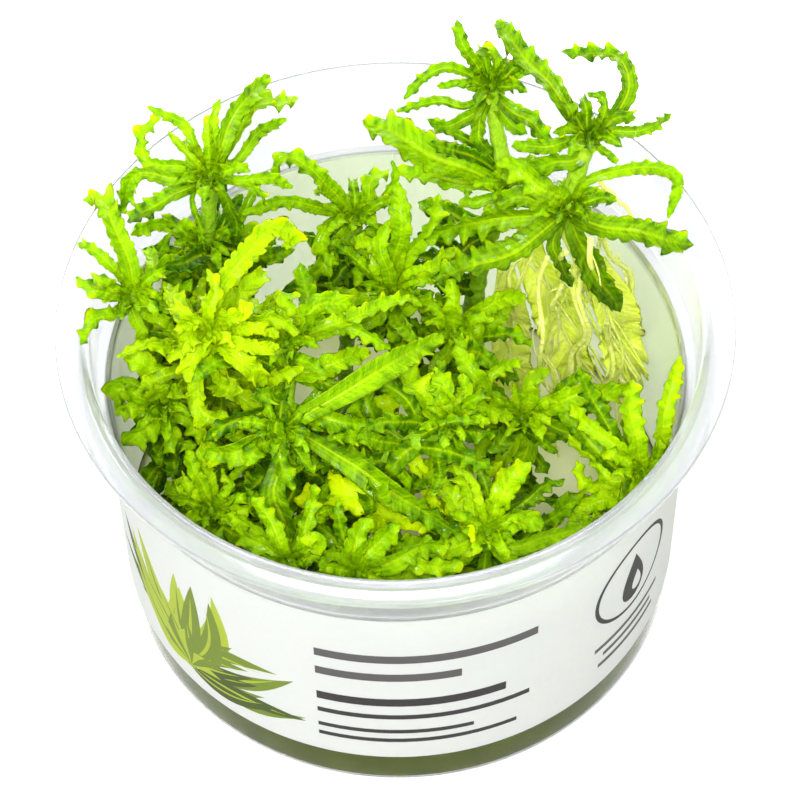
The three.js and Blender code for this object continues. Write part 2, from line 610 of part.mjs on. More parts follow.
function bladePlaces(line, width, roll) {
  const places = [];
  const count = Math.ceil(line.length / BLADE_STEP);
  for (let i = 2; i <= count; i += 1) {
    const share = i / count;
    const { point, side } = frameAt(line, share, roll);
    const reach = BLADE_REACH * width * widthAt(share);
    for (const s of [-1, 0, 1]) {
      places.push(point.clone().addScaledVector(side, s * reach));
    }
  }
  return places;
}

// A leaf keeps its place, or rises or sinks a little along one direction to one that is free

function settle(start, places, width, roll, owners) {
  let chosen = null;
  let most = -1;
  for (const lift of LIFTS) {
    const line = midline(start, places, lift);
    const blade = bladePlaces(line, width, roll);
    const free = blade.filter((p) => isFree(p, owners)).length / blade.length;
    if (free > most + 1e-9) {
      most = free;
      chosen = { line, blade };
    }
    if (free === 1) {
      break;
    }
  }
  return chosen;
}

// The assembly

const group = new THREE.Group();

function addMesh(name, solid, colour) {
  const mesh = new THREE.Mesh(toGeometry(solid), new THREE.MeshStandardMaterial(COLOURS[colour]));
  mesh.name = name;
  group.add(mesh);
}

function boxesMeet(a, b) {
  return [0, 1, 2].every((k) => a.min[k] < b.max[k] && b.min[k] < a.max[k]);
}

// What a solid keeps after its neighbours' grown solids are cut from it: the part that holds most of a base

function cutClear(solid, neighbours, base = solid) {
  let left = solid;
  for (const other of neighbours) {
    if (boxesMeet(left.boundingBox(), other.boundingBox()) && left.intersect(other).volume() > 0) {
      left = left.subtract(other);
    }
  }
  if (left === solid) {
    return solid;
  }
  const parts = left.decompose();
  const held = parts.map((part) => part.intersect(base).volume());
  return parts[held.indexOf(Math.max(...held))];
}

const cupSolid = toSolid(lathe(cupProfile(0), ROUND_STEPS));
const cupRoom = toSolid(lathe(cupProfile(GAP), ROUND_STEPS));
addMesh("cup", cupSolid, "clear");
addMesh("label_band", toSolid(lathe(bandProfile(), ROUND_STEPS)), "paper");

// The room that each piece takes. A leaf leaves room round every stem that doesn't end in its bud.

const stems = STEMS.map(([name, , radius, ...places]) => {
  const ends = WHORLS.filter((whorl) => isSamePlace(whorl[2], places[0], places.at(-1)));
  return {
    name: `stem_${name}`,
    ends: ends.map((whorl) => whorl[0]),
    solid: tube(places, radius, STEM_SIDES, places.length - 1),
    room: tube(places, radius + STEM_ROOM, STEM_SIDES, places.length - 1),
  };
});
const rooms = WHORLS.map(([name, , place]) => ({ owner: name, solid: bud(place, STEM_ROOM) }));

for (const [, plant, , ...places] of STEMS) {
  const line = midline(places[0], places.slice(1), 0);
  const count = Math.ceil(line.length);
  for (let i = 0; i <= count; i += 1) {
    occupy(frameAt(line, i / count, 0).point, `plant ${plant}`);
  }
}

for (const [name, plant, place, leaves] of WHORLS) {
  const owners = [`plant ${plant}`, name];
  const passing = stems.filter((stem) => !stem.ends.includes(name)).map((stem) => stem.room);
  const earlier = rooms.filter((room) => room.owner !== name).map((room) => room.solid);
  const middle = bud(place, 0);
  const blades = [];
  let whorl = middle;
  leaves.forEach(([width, ...places], i) => {
    const roll = ROLL * Math.sin(ROLL_TURN * i);
    const { line, blade } = settle(place, places, width, roll, owners);
    const solid = leafSolid(line, width, roll, 0);
    const leaf = cutClear(solid, [...passing, ...earlier, cupRoom], middle);
    whorl = whorl.add(leaf);
    rooms.push({ owner: name, solid: leafSolid(line, width, roll, LEAF_SPARE) });
    blades.push(...blade);
  });
  blades.forEach((p) => occupy(p, name));
  addMesh(`whorl_${name}`, whorl, "leaf");
}

stems.forEach(({ name, ends, solid }, i) => {
  const atEnds = rooms.filter((room) => ends.includes(room.owner)).map((room) => room.solid);
  const stem = cutClear(solid, [...atEnds, ...stems.slice(0, i).map((other) => other.room)]);
  addMesh(name, stem, "stem");
});
rooms.push(...stems.map((stem) => ({ owner: stem.name, solid: stem.room })));

ROOTS.forEach(([radius, ...places], i) => {
  const root = cutClear(tube(places, radius, ROOT_SIDES, ROOT_STEPS), rooms.map((room) => room.solid));
  addMesh(`root_${i + 1}`, root, "root");
  rooms.push({ owner: `root_${i + 1}`, solid: tube(places, radius + STEM_ROOM, ROOT_SIDES, ROOT_STEPS) });
});

const gel = toSolid(lathe(gelProfile(), GEL_STEPS));
addMesh("gel", cutClear(gel, rooms.map((room) => room.solid)), "gel");

export default group;
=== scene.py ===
import itertools
import math

import bpy
import numpy as np
from mathutils import Matrix, Vector
from mathutils.geometry import delaunay_2d_cdt


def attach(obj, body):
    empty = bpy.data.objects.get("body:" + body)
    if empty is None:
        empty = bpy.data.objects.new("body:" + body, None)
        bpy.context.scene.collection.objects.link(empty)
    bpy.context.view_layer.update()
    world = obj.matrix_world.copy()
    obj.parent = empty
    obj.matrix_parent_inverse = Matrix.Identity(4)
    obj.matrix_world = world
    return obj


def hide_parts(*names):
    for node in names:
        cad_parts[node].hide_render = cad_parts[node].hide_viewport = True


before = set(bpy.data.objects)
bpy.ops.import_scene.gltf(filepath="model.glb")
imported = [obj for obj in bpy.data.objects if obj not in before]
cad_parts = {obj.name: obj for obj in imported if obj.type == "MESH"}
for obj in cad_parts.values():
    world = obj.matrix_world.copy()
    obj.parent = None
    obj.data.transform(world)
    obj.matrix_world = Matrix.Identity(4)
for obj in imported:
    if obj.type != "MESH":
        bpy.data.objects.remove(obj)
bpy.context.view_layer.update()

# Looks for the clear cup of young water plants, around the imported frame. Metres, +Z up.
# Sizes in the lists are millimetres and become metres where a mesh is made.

MM = 0.001

# The camera of the photograph: where it stands, how far it looks down and how far it leans
CAMERA_PLACE = (0.0005, -0.2698, 0.4161)
CAMERA_PITCH = math.radians(54.3)
CAMERA_LEAN = math.radians(-1.03)
CAMERA_LENS = 135
CAMERA_SENSOR = 36

# The cup, hazed above a height and thinner below another
RIM_RADIUS = 50.5
RIM_HEIGHT = 62.2
BASE_RADIUS = 44.0
BASE_CORNER = 1.0
SHOULDER_HEIGHT = 49.4
SHOULDER_RADIUS = 44.2
COLLAR_RADIUS = 46.0
WALL = 0.9
FLOOR = 1.2
CUP_STEPS = 144
HAZE_FROM = 48.0
THIN_BELOW = 9.6
THIN_WALL = 0.25
THIN_FLOOR = 0.25

# The paper band and the gel
BAND_BOTTOM = 8.0
BAND_TOP = 48.0
BAND_GAP = 0.1
BAND_THICKNESS = 0.25
GEL_TOP = 9.5

# How a leaf's line is made, as in the frame's solids
MIDLINE_STEPS = 24
FACING = np.array([0.0, -0.584, 0.812])
ROLL = 0.45
ROLL_TURN = 2.4
LEAF_ROOT = 0.15
PETIOLE = 0.18
WIDEST = 0.45
TIP_START = 0.72
TIP_END = 1.04
ROOM = 1.7
BLADE_STEP = 1.3
BLADE_REACH = 0.4
FIRST_LIFT = 0.6
LIFTS = [0, 1, -1, 2, -2, 3, -3, 4, -4, 5, -5, 6, -6, 7, -7]
WALL_ROOM = 42.5
WALL_ROOM_TOP = 63.8
GEL_ROOM = 1.0

# The fine blade: its section, its rows, its outline and its thickness
TOP_SHARES = np.array([-1, -0.86, -0.66, -0.5, -0.34, -0.17, 0, 0.17, 0.34, 0.5, 0.66, 0.86, 1])
BOTTOM_SHARES = np.array([0.7, 0.24, 0, -0.24, -0.7])
SMALL_TOP = np.array([-1, -0.82, -0.5, -0.2, 0, 0.2, 0.5, 0.82, 1])
SMALL_BOTTOM = np.array([0.6, 0, -0.6])
ROW_STEP = 0.24
SMALL_ROWS = 1.25
FEWEST_ROWS = 12
MOST_ROWS = 120
BLADE_BASE = 0.42
BLADE_WIDEST = 0.5
BLADE_TIP_START = 0.7
BLADE_TIP_END = 1.02
BLADE_BLUNT = (2.8, 0.65)
THICKNESS = 0.4
RIB = 0.22

# How far a blade twists, swells, sways and dips on its way, and how its margins and veins stand out
TWIST = 0.5
SWELL = 0.07
SWAY = 0.06
DIP = 0.09
SWAY_FROM = (0.1, 0.5)
LOBE = 1.2
LOBE_OUT = 0.42
TOOTH = 0.62
TOOTH_OUT = 0.07
NOTCHED_FROM = (0.12, 0.45)
WAVED_FROM = (0.2, 0.85)
CAMBER = 0.34
GROOVE = 0.18
VEINS = [(-0.66, 0.35), (-0.34, 0.6), (0.34, 0.6), (0.66, 0.35)]
VEIN_WIDTH = 0.1
VEIN_RISE = 0.045

# A blade's tone: at its foot, more to its tip, less to its edges, with painted light where a margin is
# lifted and painted shade where it dips
FOOT_TONE = 0.44
TIP_TONE = 0.12
EDGE_TONE = 0.04
WAVE_PAINTED_LIGHT = 0.34

# How the grain of a blade's surface slants to its midline and stretches across it
GRAIN_SLANT = 0.6
GRAIN_ACROSS = 0.35

# The plants' places, as in the frame: stems, whorls and roots

STEMS = [
  ["back_left", 1, 1.3, [-27, 17, 74], [-28, 17, 64], [-29, 18, 56]],
  ["back_left_low", 1, 1.55, [-29, 18, 56], [-28, 15, 40], [-26, 12, 24], [-24, 10, 7]],
  ["left", 2, 1.3, [-39, 4, 62], [-37, 3, 50], [-34, 2, 30], [-31, 1, 7]],
  ["left_bright", 3, 1.3, [-27, -7, 67], [-26, -5, 50], [-24, -3, 30], [-22, -2, 7]],
  ["centre_top", 4, 1.3, [-16, -5, 62], [-16, -11, 59.5], [-17, -17, 56]],
  ["centre", 4, 1.5, [-17, -17, 56], [-15, -14, 40], [-13, -11, 24], [-12, -9, 7]],
  ["back_centre", 5, 1.3, [-6, 25, 54], [-7, 25, 40], [-8, 24, 24], [-9, 23, 7]],
  ["back_centre_right", 6, 1.3, [0, 13, 50], [0, 12, 36], [-1, 10, 22], [-2, 9, 7]],
  ["right_back_top", 7, 1.5, [29, 19, 79], [27.5, 17, 74], [26, 14, 69]],
  ["back_right", 7, 1.3, [15, 29, 79], [16, 25, 72], [18, 21, 65]],
  ["right_back", 7, 1.5, [26, 14, 69], [22, 18, 66.5], [18, 21, 65]],
  ["back_arm", 7, 1.7, [18, 21, 65], [14, 22, 50], [12, 20, 30], [11, 18, 7]],
  ["centre_right", 8, 1.3, [9, 8, 47], [9, 7, 34], [9, 6, 20], [9, 5, 7]],
  ["centre_bud", 9, 2.0, [8, -15, 55], [2, -17, 52.5], [-4, -18, 48.5], [-9, -17, 43]],
  ["centre_stalk", 9, 1.8, [-9, -17, 43], [-8, -19, 32], [-6, -19, 20], [-5, -18, 7]],
  ["right_low", 10, 1.3, [19, -5, 42], [19, -3, 30], [19, -1, 18], [19, 0, 7]],
  ["front_right", 11, 1.3, [13, -28, 45], [13, -26, 32], [12, -23, 18], [12, -21, 7]],
  ["front_left", 12, 1.3, [-16, -32, 45], [-15, -30, 32], [-14, -27, 18], [-13, -25, 7]],
  ["front", 13, 1.3, [-6, -34, 44], [-4, -32, 32], [-2, -30, 18], [-1, -28, 7]],
  ["front_leaf", 14, 1.3, [7, -25, 43], [6, -22, 32], [4, -18, 18], [3, -16, 7]],
  ["right_front", 15, 1.3, [37, -16, 42], [35, -14, 30], [33, -12, 18], [32, -11, 7]],
  ["left_front", 16, 1.3, [-35, -6, 48], [-34, -8, 34], [-33, -10, 20], [-32, -11, 7]],
  ["front_left_low", 17, 1.3, [-28, -21, 42], [-27, -20, 30], [-25, -19, 18], [-24, -18, 7]],
]

# Whorls, by the stem whose top each is on: each leaf is its width, then the places along its midline
WHORLS = {
  "back_left": [
    [1.8, [-26, 18, 80], [-26, 20, 84], [-25, 22, 86]],
    [3.3, [-25, 18, 80], [-22, 23, 84], [-18, 29, 83]],
    [3.6, [-24, 19, 79], [-20, 24, 82], [-14, 28, 79]],
    [2.1, [-23, 18, 77], [-20, 22, 78], [-16, 26, 77]],
    [2.0, [-29, 19, 79], [-31, 22, 81], [-36, 26, 80]],
    [2.7, [-31, 17, 77], [-36, 18, 77], [-37, 20, 80], [-34, 22, 82]],
    [1.5, [-29, 17, 78], [-31, 19, 79], [-33, 21, 80]],
    [3.0, [-32, 14, 78], [-38, 16, 76], [-41, 16, 68]],
    [3.3, [-31, 14, 75], [-35, 15, 71], [-40, 16, 66]],
    [2.1, [-22, 15, 76], [-18, 16, 75], [-15, 17, 72]],
    [1.5, [-23, 16, 74], [-20, 16, 72], [-19, 16, 69]],
    [2.7, [-25, 16, 71], [-24, 17, 64], [-24, 17, 58]],
    [1.2, [-30, 17, 70], [-29, 15, 64], [-29, 14, 59]],
    [1.7, [-27, 18, 80], [-27, 20, 83], [-26, 21, 84]],
  ],
  "right_back_top": [
    [3.0, [32, 19, 83], [35, 23, 86], [33, 29, 86], [26, 33, 83]],
    [2.1, [32, 18, 82], [36, 17, 83], [41, 21, 82]],
    [1.8, [31, 20, 83], [31, 22, 85], [29, 23, 85]],
    [2.3, [27, 20, 82], [26, 21, 84], [25, 24, 84]],
    [1.5, [31, 17, 79], [32, 17, 78], [33, 17, 76]],
    [2.7, [26, 18, 80], [22, 17, 80], [18, 19, 78]],
    [4.2, [26, 21, 83], [22, 26, 86], [16, 37, 85]],
    [3.6, [27, 17, 77], [23, 17, 76], [20, 18, 74]],
  ],
  "back_right": [
    [2.4, [13, 30, 83], [11, 30, 87], [10, 34, 89]],
    [2.1, [11, 30, 82], [7, 30, 83], [2, 28, 79]],
    [1.5, [12, 28, 81], [10, 29, 81], [7, 30, 79]],
    [1.8, [11, 26, 79], [7, 27, 79], [1, 28, 76]],
    [2.7, [12, 26, 77], [9, 25, 76], [6, 26, 75]],
    [3.3, [17, 26, 79], [21, 23, 78], [24, 21, 76]],
    [3.0, [16, 30, 82], [15, 32, 84], [13, 32, 84]],
    [2.4, [18, 29, 82], [20, 30, 83], [19, 32, 84]],
    [2.4, [16, 27, 77], [18, 25, 76], [20, 24, 75]],
    [2.7, [13, 25, 76], [13, 24, 74], [15, 23, 72]],
  ],
  "right_back": [
    [4.8, [29, 10, 71], [35, 8, 71], [44, 8, 68]],
    [5.5, [22, 10, 69], [15, 6, 67], [6, 7, 63]],
    [4.5, [22, 13, 69], [15, 14, 67], [5, 15, 62]],
    [4.8, [28, 12, 63], [30, 11, 59], [34, 8, 52]],
    [2.7, [24, 12, 64], [25, 11, 60], [27, 10, 56]],
    [4.8, [24, 13, 73], [20, 15, 75], [16, 18, 75]],
    [2.4, [29, 14, 76], [37, 16, 76], [42, 16, 73], [41, 13, 68]],
    [3.6, [23, 13, 72], [19, 15, 71], [16, 15, 69]],
  ],
  "back_arm": [
    [6.1, [12, 22, 69], [4, 25, 71], [-4, 32, 69]],
    [3.9, [13, 22, 66], [7, 23, 66], [1, 26, 65]],
    [2.4, [16, 21, 64], [12, 21, 63], [11, 24, 63]],
    [2.7, [16, 21, 62], [15, 20, 60], [14, 19, 57]],
  ],
  "left_bright": [
    [3.9, [-26, -3, 71], [-22, 0, 76], [-18, 5, 77], [-15, 6, 74], [-16, 6, 72]],
    [3.6, [-28, -10, 68], [-30, -11, 66], [-30, -12, 63]],
    [2.4, [-29, -9, 69], [-31, -10, 68], [-33, -10, 66]],
    [3.9, [-29, -11, 63], [-29, -13, 58], [-25, -15, 57], [-21, -15, 55]],
    [3.3, [-26, -10, 63], [-24, -12, 60], [-19, -14, 57]],
    [3.6, [-24, -11, 69], [-21, -13, 67], [-19, -13, 63]],
    [2.6, [-24, -10, 70], [-21, -11, 70], [-17, -10, 68]],
    [3.0, [-24, -7, 71], [-22, -7, 72], [-21, -5, 72]],
    [2.6, [-22, -8, 70], [-19, -8, 70], [-17, -8, 68]],
    [2.3, [-27, -6, 72], [-26, -4, 74], [-27, -1, 75]],
    [3.0, [-28, -7, 71], [-30, -7, 70], [-31, -8, 67]],
  ],
  "left": [
    [3.9, [-39, 7, 65], [-41, 12, 69], [-43, 17, 69], [-46, 18, 68]],
    [2.1, [-41, 6, 66], [-44, 8, 68], [-47, 11, 67]],
    [2.7, [-42, 2, 66], [-44, 2, 67], [-47, 4, 67]],
    [3.0, [-41, -1, 65], [-44, -3, 66], [-46, -6, 65]],
    [3.3, [-37, 8, 62], [-34, 11, 61], [-31, 16, 58]],
    [2.6, [-35, 3, 62], [-32, 3, 61], [-30, 5, 60]],
    [2.4, [-37, 2, 61], [-34, 2, 59], [-33, 4, 57]],
    [2.4, [-37, 5, 64], [-36, 8, 65], [-37, 13, 63]],
    [2.4, [-39, 2, 62], [-38, 0, 60], [-38, -1, 57]],
  ],
  "centre_top": [
    [3.9, [-14, -10, 62], [-9, -9, 63], [-4, -6, 61]],
    [2.7, [-12, -5, 64], [-7, -4, 65], [-1, -6, 62]],
    [3.0, [-12, -5, 65], [-6, -3, 66], [2, 2, 64]],
    [3.3, [-16, -4, 65], [-16, -2, 67], [-18, 1, 66]],
    [4.2, [-14, -4, 66], [-11, -2, 68], [-6, -1, 65]],
    [2.3, [-14, -4, 67], [-16, -2, 69], [-14, -1, 69]],
    [2.4, [-18, -4, 63], [-20, -1, 64], [-21, 3, 63]],
    [2.4, [-13, -2, 64], [-11, -2, 62], [-13, -3, 60]],
  ],
  "centre": [
    [4.1, [-13, -16, 60], [-6, -13, 62], [1, -8, 63], [7, -3, 61]],
    [4.2, [-13, -19, 58], [-7, -23, 57], [0, -27, 54], [10, -30, 48]],
    [4.2, [-20, -18, 56], [-24, -19, 55], [-28, -18, 52]],
    [4.5, [-17, -20, 54], [-18, -24, 51], [-16, -30, 46]],
    [3.6, [-16, -19, 54], [-15, -20, 53], [-14, -19, 54]],
    [2.0, [-19, -16, 57], [-21, -16, 57], [-23, -15, 57]],
  ],
  "back_centre_right": [
    [3.9, [0, 15, 56], [1, 17, 62], [1, 22, 66]],
    [3.3, [1, 15, 55], [5, 17, 60], [7, 22, 63]],
    [3.3, [-2, 15, 54], [-3, 17, 57], [-6, 19, 57]],
    [3.0, [-2, 12, 52], [-5, 11, 52], [-10, 11, 53]],
    [3.0, [2, 13, 54], [6, 14, 56], [9, 17, 56]],
    [2.7, [-1, 13, 56], [-2, 15, 60], [-1, 18, 62]],
    [3.0, [1, 10, 50], [4, 11, 52], [7, 10, 51]],
    [3.0, [-2, 10, 50], [-4, 9, 49], [-7, 9, 47]],
  ],
  "back_centre": [
    [3.3, [-9, 25, 61], [-13, 25, 67], [-16, 26, 68], [-18, 25, 66]],
    [1.8, [-9, 26, 58], [-11, 27, 59], [-12, 28, 57]],
    [2.7, [-11, 25, 57], [-17, 24, 60], [-23, 22, 60]],
    [3.0, [-10, 22, 56], [-11, 19, 55], [-9, 18, 52]],
    [3.6, [-8, 23, 52], [-11, 20, 50], [-14, 18, 46]],
    [3.3, [-4, 26, 58], [-3, 28, 60], [-1, 30, 60]],
    [1.8, [-3, 25, 57], [0, 27, 60], [0, 29, 63]],
    [3.3, [-7, 23, 52], [-5, 20, 50], [-6, 17, 48]],
  ],
  "centre_bud": [
    [1.2, [9, -14, 56], [10, -13, 57]],
    [1.5, [10, -15, 56], [13, -14, 56]],
    [1.4, [11, -17, 55], [14, -16, 54]],
    [5.5, [5, -14, 58], [3, -12, 60], [1, -8, 61]],
    [3.3, [7, -14, 58], [7, -12, 60], [6, -9, 61]],
    [3.0, [9, -14, 58], [10, -12, 59], [10, -9, 59]],
    [2.7, [12, -12, 55], [15, -13, 55], [17, -12, 52]],
    [3.6, [13, -8, 54], [11, -7, 57], [9, -3, 58]],
    [2.4, [13, -6, 53], [16, -4, 54], [19, -2, 53]],
  ],
  "centre_stalk": [
    [4.2, [-8, -14, 47], [-4, -10, 50], [2, -7, 52]],
  ],
  "back_left_low": [
    [2.6, [-31, 19, 58], [-36, 19, 61], [-40, 16, 63]],
    [2.3, [-30, 19, 58], [-31, 19, 60], [-32, 20, 61]],
    [2.4, [-30, 16, 56], [-32, 15, 55], [-34, 14, 53]],
    [2.7, [-26, 16, 55], [-24, 15, 53], [-24, 14, 50]],
    [2.7, [-25, 19, 57], [-22, 21, 57], [-20, 20, 54]],
    [2.4, [-30, 15, 58], [-31, 14, 58], [-31, 14, 56]],
  ],
  "centre_right": [
    [3.3, [13, 10, 50], [16, 11, 51], [20, 13, 49]],
    [3.0, [7, 9, 50], [5, 10, 51], [2, 13, 50]],
    [3.6, [9, 9, 51], [9, 11, 53], [7, 13, 53]],
    [2.7, [13, 8, 47], [16, 10, 48], [17, 13, 47]],
    [3.0, [8, 5, 46], [6, 2, 45], [8, 0, 43]],
    [2.7, [11, 6, 47], [13, 7, 49], [12, 10, 50]],
    [3.3, [7, 6, 48], [4, 4, 49], [0, 5, 48]],
  ],
  "right_low": [
    [3.9, [23, -5, 45], [29, -4, 47], [36, -2, 45]],
    [3.3, [20, -5, 47], [20, -4, 50], [23, -1, 49]],
    [3.0, [17, -6, 45], [15, -6, 47], [14, -4, 47]],
    [3.0, [18, -7, 40], [16, -10, 37], [16, -13, 34]],
    [3.6, [20, -7, 38], [19, -9, 34], [20, -12, 30]],
    [3.3, [16, -8, 42], [12, -11, 42], [11, -14, 41]],
  ],
  "front_right": [
    [4.5, [14, -26, 49], [16, -24, 52], [19, -21, 53]],
    [4.1, [16, -28, 48], [18, -27, 48], [21, -27, 46]],
    [3.6, [11, -26, 48], [10, -21, 49], [8, -15, 48]],
    [3.9, [10, -27, 47], [7, -22, 48], [4, -16, 47]],
    [1.7, [12, -26, 50], [11, -23, 52], [8, -21, 53]],
    [1.9, [12, -30, 47], [10, -32, 47], [10, -30, 48]],
    [3.6, [17, -30, 45], [22, -28, 44], [30, -23, 42]],
    [3.0, [15, -31, 44], [19, -32, 42], [24, -28, 41]],
    [3.6, [10, -30, 46], [5, -31, 46], [0, -29, 45]],
  ],
  "front": [
    [3.9, [-5, -33, 48], [-2, -31, 50], [0, -30, 51]],
    [3.9, [-7, -33, 48], [-6, -31, 50], [-4, -29, 51]],
    [3.0, [-8, -33, 47], [-11, -32, 48], [-12, -31, 48]],
    [4.1, [-2, -34, 47], [2, -32, 48], [7, -30, 46]],
    [3.0, [-3, -34, 45], [0, -35, 44], [4, -32, 42]],
    [3.0, [-9, -34, 45], [-11, -34, 44], [-13, -33, 43]],
    [3.3, [0, -33, 46], [5, -33, 45], [9, -32, 44]],
  ],
  "front_left": [
    [3.0, [-17, -32, 49], [-19, -29, 52], [-21, -26, 53]],
    [2.7, [-14, -32, 49], [-13, -28, 52], [-12, -24, 53]],
    [3.6, [-18, -33, 48], [-21, -31, 49], [-24, -28, 48]],
    [3.6, [-14, -33, 48], [-12, -32, 50], [-14, -32, 51]],
    [3.0, [-19, -30, 47], [-22, -27, 47], [-26, -24, 45]],
    [3.0, [-18, -32, 44], [-20, -31, 43], [-23, -29, 42]],
  ],
  "front_leaf": [
    [7.0, [0, -24, 46], [-7, -23, 48], [-15, -21, 46]],
  ],
  "right_front": [
    [3.9, [36, -15, 47], [35, -13, 52], [35, -8, 55]],
    [2.9, [39, -14, 47], [40, -12, 53], [42, -5, 57]],
    [1.8, [40, -14, 46], [41, -14, 50], [43, -12, 51]],
    [2.1, [39, -15, 47], [39, -13, 50], [41, -12, 52]],
    [3.0, [35, -15, 45], [31, -13, 48], [26, -7, 48]],
    [2.0, [35, -16, 42], [34, -17, 41], [32, -18, 40]],
    [2.7, [32, -16, 41], [29, -12, 42], [26, -9, 43]],
    [2.7, [31, -16, 40], [28, -16, 41], [27, -13, 42]],
    [3.3, [34, -18, 40], [30, -19, 40], [26, -21, 38]],
  ],
  "left_front": [
    [4.5, [-36, -6, 53], [-37, -4, 56], [-40, -2, 57]],
    [1.8, [-34, -6, 52], [-34, -6, 54], [-34, -6, 56]],
    [2.0, [-32, -6, 50], [-31, -6, 52], [-31, -4, 53]],
    [2.6, [-37, -7, 51], [-39, -7, 53], [-40, -5, 53]],
    [3.0, [-37, -8, 50], [-40, -8, 51], [-42, -8, 49]],
    [4.5, [-37, -9, 48], [-39, -10, 47], [-41, -10, 44]],
    [3.0, [-32, -8, 48], [-30, -10, 48], [-28, -11, 46]],
    [2.6, [-34, -10, 48], [-34, -11, 47], [-35, -12, 45]],
    [4.2, [-39, -5, 50], [-42, -5, 51], [-44, -6, 47]],
  ],
  "front_left_low": [
    [2.6, [-29, -20, 47], [-30, -19, 50], [-31, -16, 51]],
    [3.0, [-28, -19, 47], [-29, -17, 50], [-28, -14, 50]],
    [2.1, [-26, -21, 46], [-25, -20, 48], [-26, -18, 49]],
    [2.6, [-25, -23, 45], [-22, -23, 46], [-21, -23, 44]],
    [2.6, [-29, -21, 44], [-31, -20, 46], [-33, -18, 46]],
    [1.4, [-26, -19, 45], [-23, -17, 48], [-21, -16, 47]],
    [3.0, [-30, -21, 42], [-32, -19, 42], [-35, -15, 41]],
    [3.0, [-25, -22, 41], [-22, -23, 41], [-19, -24, 39]],
  ],
}

# Roots that hang from the highest plant to the gel: radius, then the places along each
ROOTS = [
  [0.55, [29, 11, 66], [32, 12, 50], [34, 14, 32], [33, 15, 10.5]],
  [0.45, [26, 10, 65], [25, 14, 48], [25, 18, 30], [22, 20, 10.5]],
  [0.5, [31, 14, 64], [36, 18, 48], [37, 20, 30], [36, 12, 10.5]],
  [0.45, [23, 10, 63], [22, 8, 48], [24, 8, 30], [26, 10, 10.5]],
  [0.4, [33, 17, 63], [31, 22, 48], [29, 25, 30], [28, 26, 10.5]],
  [0.4, [22, 17, 62], [18, 18, 46], [18, 20, 30], [17, 24, 10.5]],
]

# Lines


def smoothstep(x, low, high):
    t = np.clip((x - low) / (high - low), 0, 1)
    return t * t * (3 - 2 * t)


def curve_points(places, steps):
    """A smooth line through its places: a uniform cubic whose ends run straight on."""
    p = np.array(places, float)
    ends = np.vstack([2 * p[0] - p[1], p, 2 * p[-1] - p[-2]])
    t = np.linspace(0, len(p) - 1, steps + 1)
    k = np.minimum(t.astype(int), len(p) - 2)
    w = (t - k)[:, None]
    before, start, end, after = ends[k], ends[k + 1], ends[k + 2], ends[k + 3]
    leave = (end - before) / 2
    arrive = (after - start) / 2
    a = 2 * start - 2 * end + leave + arrive
    b = -3 * start + 3 * end - 2 * leave - arrive
    return ((a * w + b) * w + leave) * w + start


def keep_off_wall(points):
    """Points moved in from the cup's wall where they are below its rim."""
    r = np.hypot(points[:, 0], points[:, 1])
    near = (points[:, 2] < WALL_ROOM_TOP) & (r > WALL_ROOM)
    points[near, :2] *= (WALL_ROOM / r[near])[:, None]
    return points


class Line:
    """A line of points with the distance along it."""

    def __init__(self, points):
        self.points = points
        steps = np.linalg.norm(np.diff(points, axis=0), axis=1)
        self.along = np.concatenate([[0], np.cumsum(steps)])
        self.length = self.along[-1]

    def at(self, shares):
        target = np.asarray(shares) * self.length
        return np.stack([np.interp(target, self.along, self.points[:, k]) for k in range(3)], -1)


def smooth_line(places, steps=60):
    return Line(curve_points(places, steps))


def midline(start, places, lift, steps=MIDLINE_STEPS):
    first = np.array(start, float)
    controls = np.array(places, float) + np.outer([FIRST_LIFT] + [1] * (len(places) - 1), FACING) * lift
    root = first + (controls[0] - first) * LEAF_ROOT
    return Line(keep_off_wall(curve_points([root, *controls], steps)))


def unit(v):
    return v / np.maximum(np.linalg.norm(v, axis=-1, keepdims=True), 1e-12)


def turn(v, axis, angle):
    """v turned about a unit axis at right angles to it."""
    return v * np.cos(angle)[..., None] + np.cross(axis, v) * np.sin(angle)[..., None]


def frames_at(line, shares, roll):
    """The points and sides of a leaf at shares of its length, as the frame's solids have them."""
    i = np.clip(np.searchsorted(line.along, shares * line.length), 1, len(line.points) - 1)
    before = line.points[np.maximum(i - 2, 0)]
    after = line.points[np.minimum(i + 1, len(line.points) - 1)]
    along = unit(after - before)
    side = turn(unit(np.cross(along, FACING)), along, np.full(len(shares), roll))
    return line.at(shares), side


def width_at(share):
    widening = smoothstep(share, 0, WIDEST)
    closing = smoothstep(share, TIP_START, TIP_END)
    return (PETIOLE + (1 - PETIOLE) * widening) * (1 - closing)


def wander(shares, rng, low, high, count=None):
    """A slow wave along a part, or one for each direction, at a rate between low and high."""
    return np.sin(shares * rng.uniform(low, high, count) + rng.uniform(0, 6, count))


def outward(azimuth):
    """The level direction at an angle about the upright axis."""
    return np.array([math.cos(azimuth), math.sin(azimuth), 0])


# Where something already is: places, each with its owner, kept in cells

taken = {}


def cell_of(point, size=ROOM):
    return tuple(math.floor(v / size) for v in point)


def cells_near(point, size=ROOM):
    """The cell of a point and the 26 round it."""
    return itertools.product(*(range(v - 1, v + 2) for v in cell_of(point, size)))


def occupy(points, owner):
    for point in points:
        taken.setdefault(cell_of(point), []).append((tuple(point), owner))


def is_free(point, owners, reach=ROOM):
    if point[2] < GEL_TOP + GEL_ROOM:
        return False
    near = (entry for cell in cells_near(point) for entry in taken.get(cell, ()))
    return all(owner in owners or math.dist(place, point) >= reach for place, owner in near)


def blade_places(line, width, roll):
    count = math.ceil(line.length / BLADE_STEP)
    shares = np.arange(2, count + 1) / count
    points, sides = frames_at(line, shares, roll)
    reach = (BLADE_REACH * width * width_at(shares))[:, None]
    return np.concatenate([points - sides * reach, points, points + sides * reach])


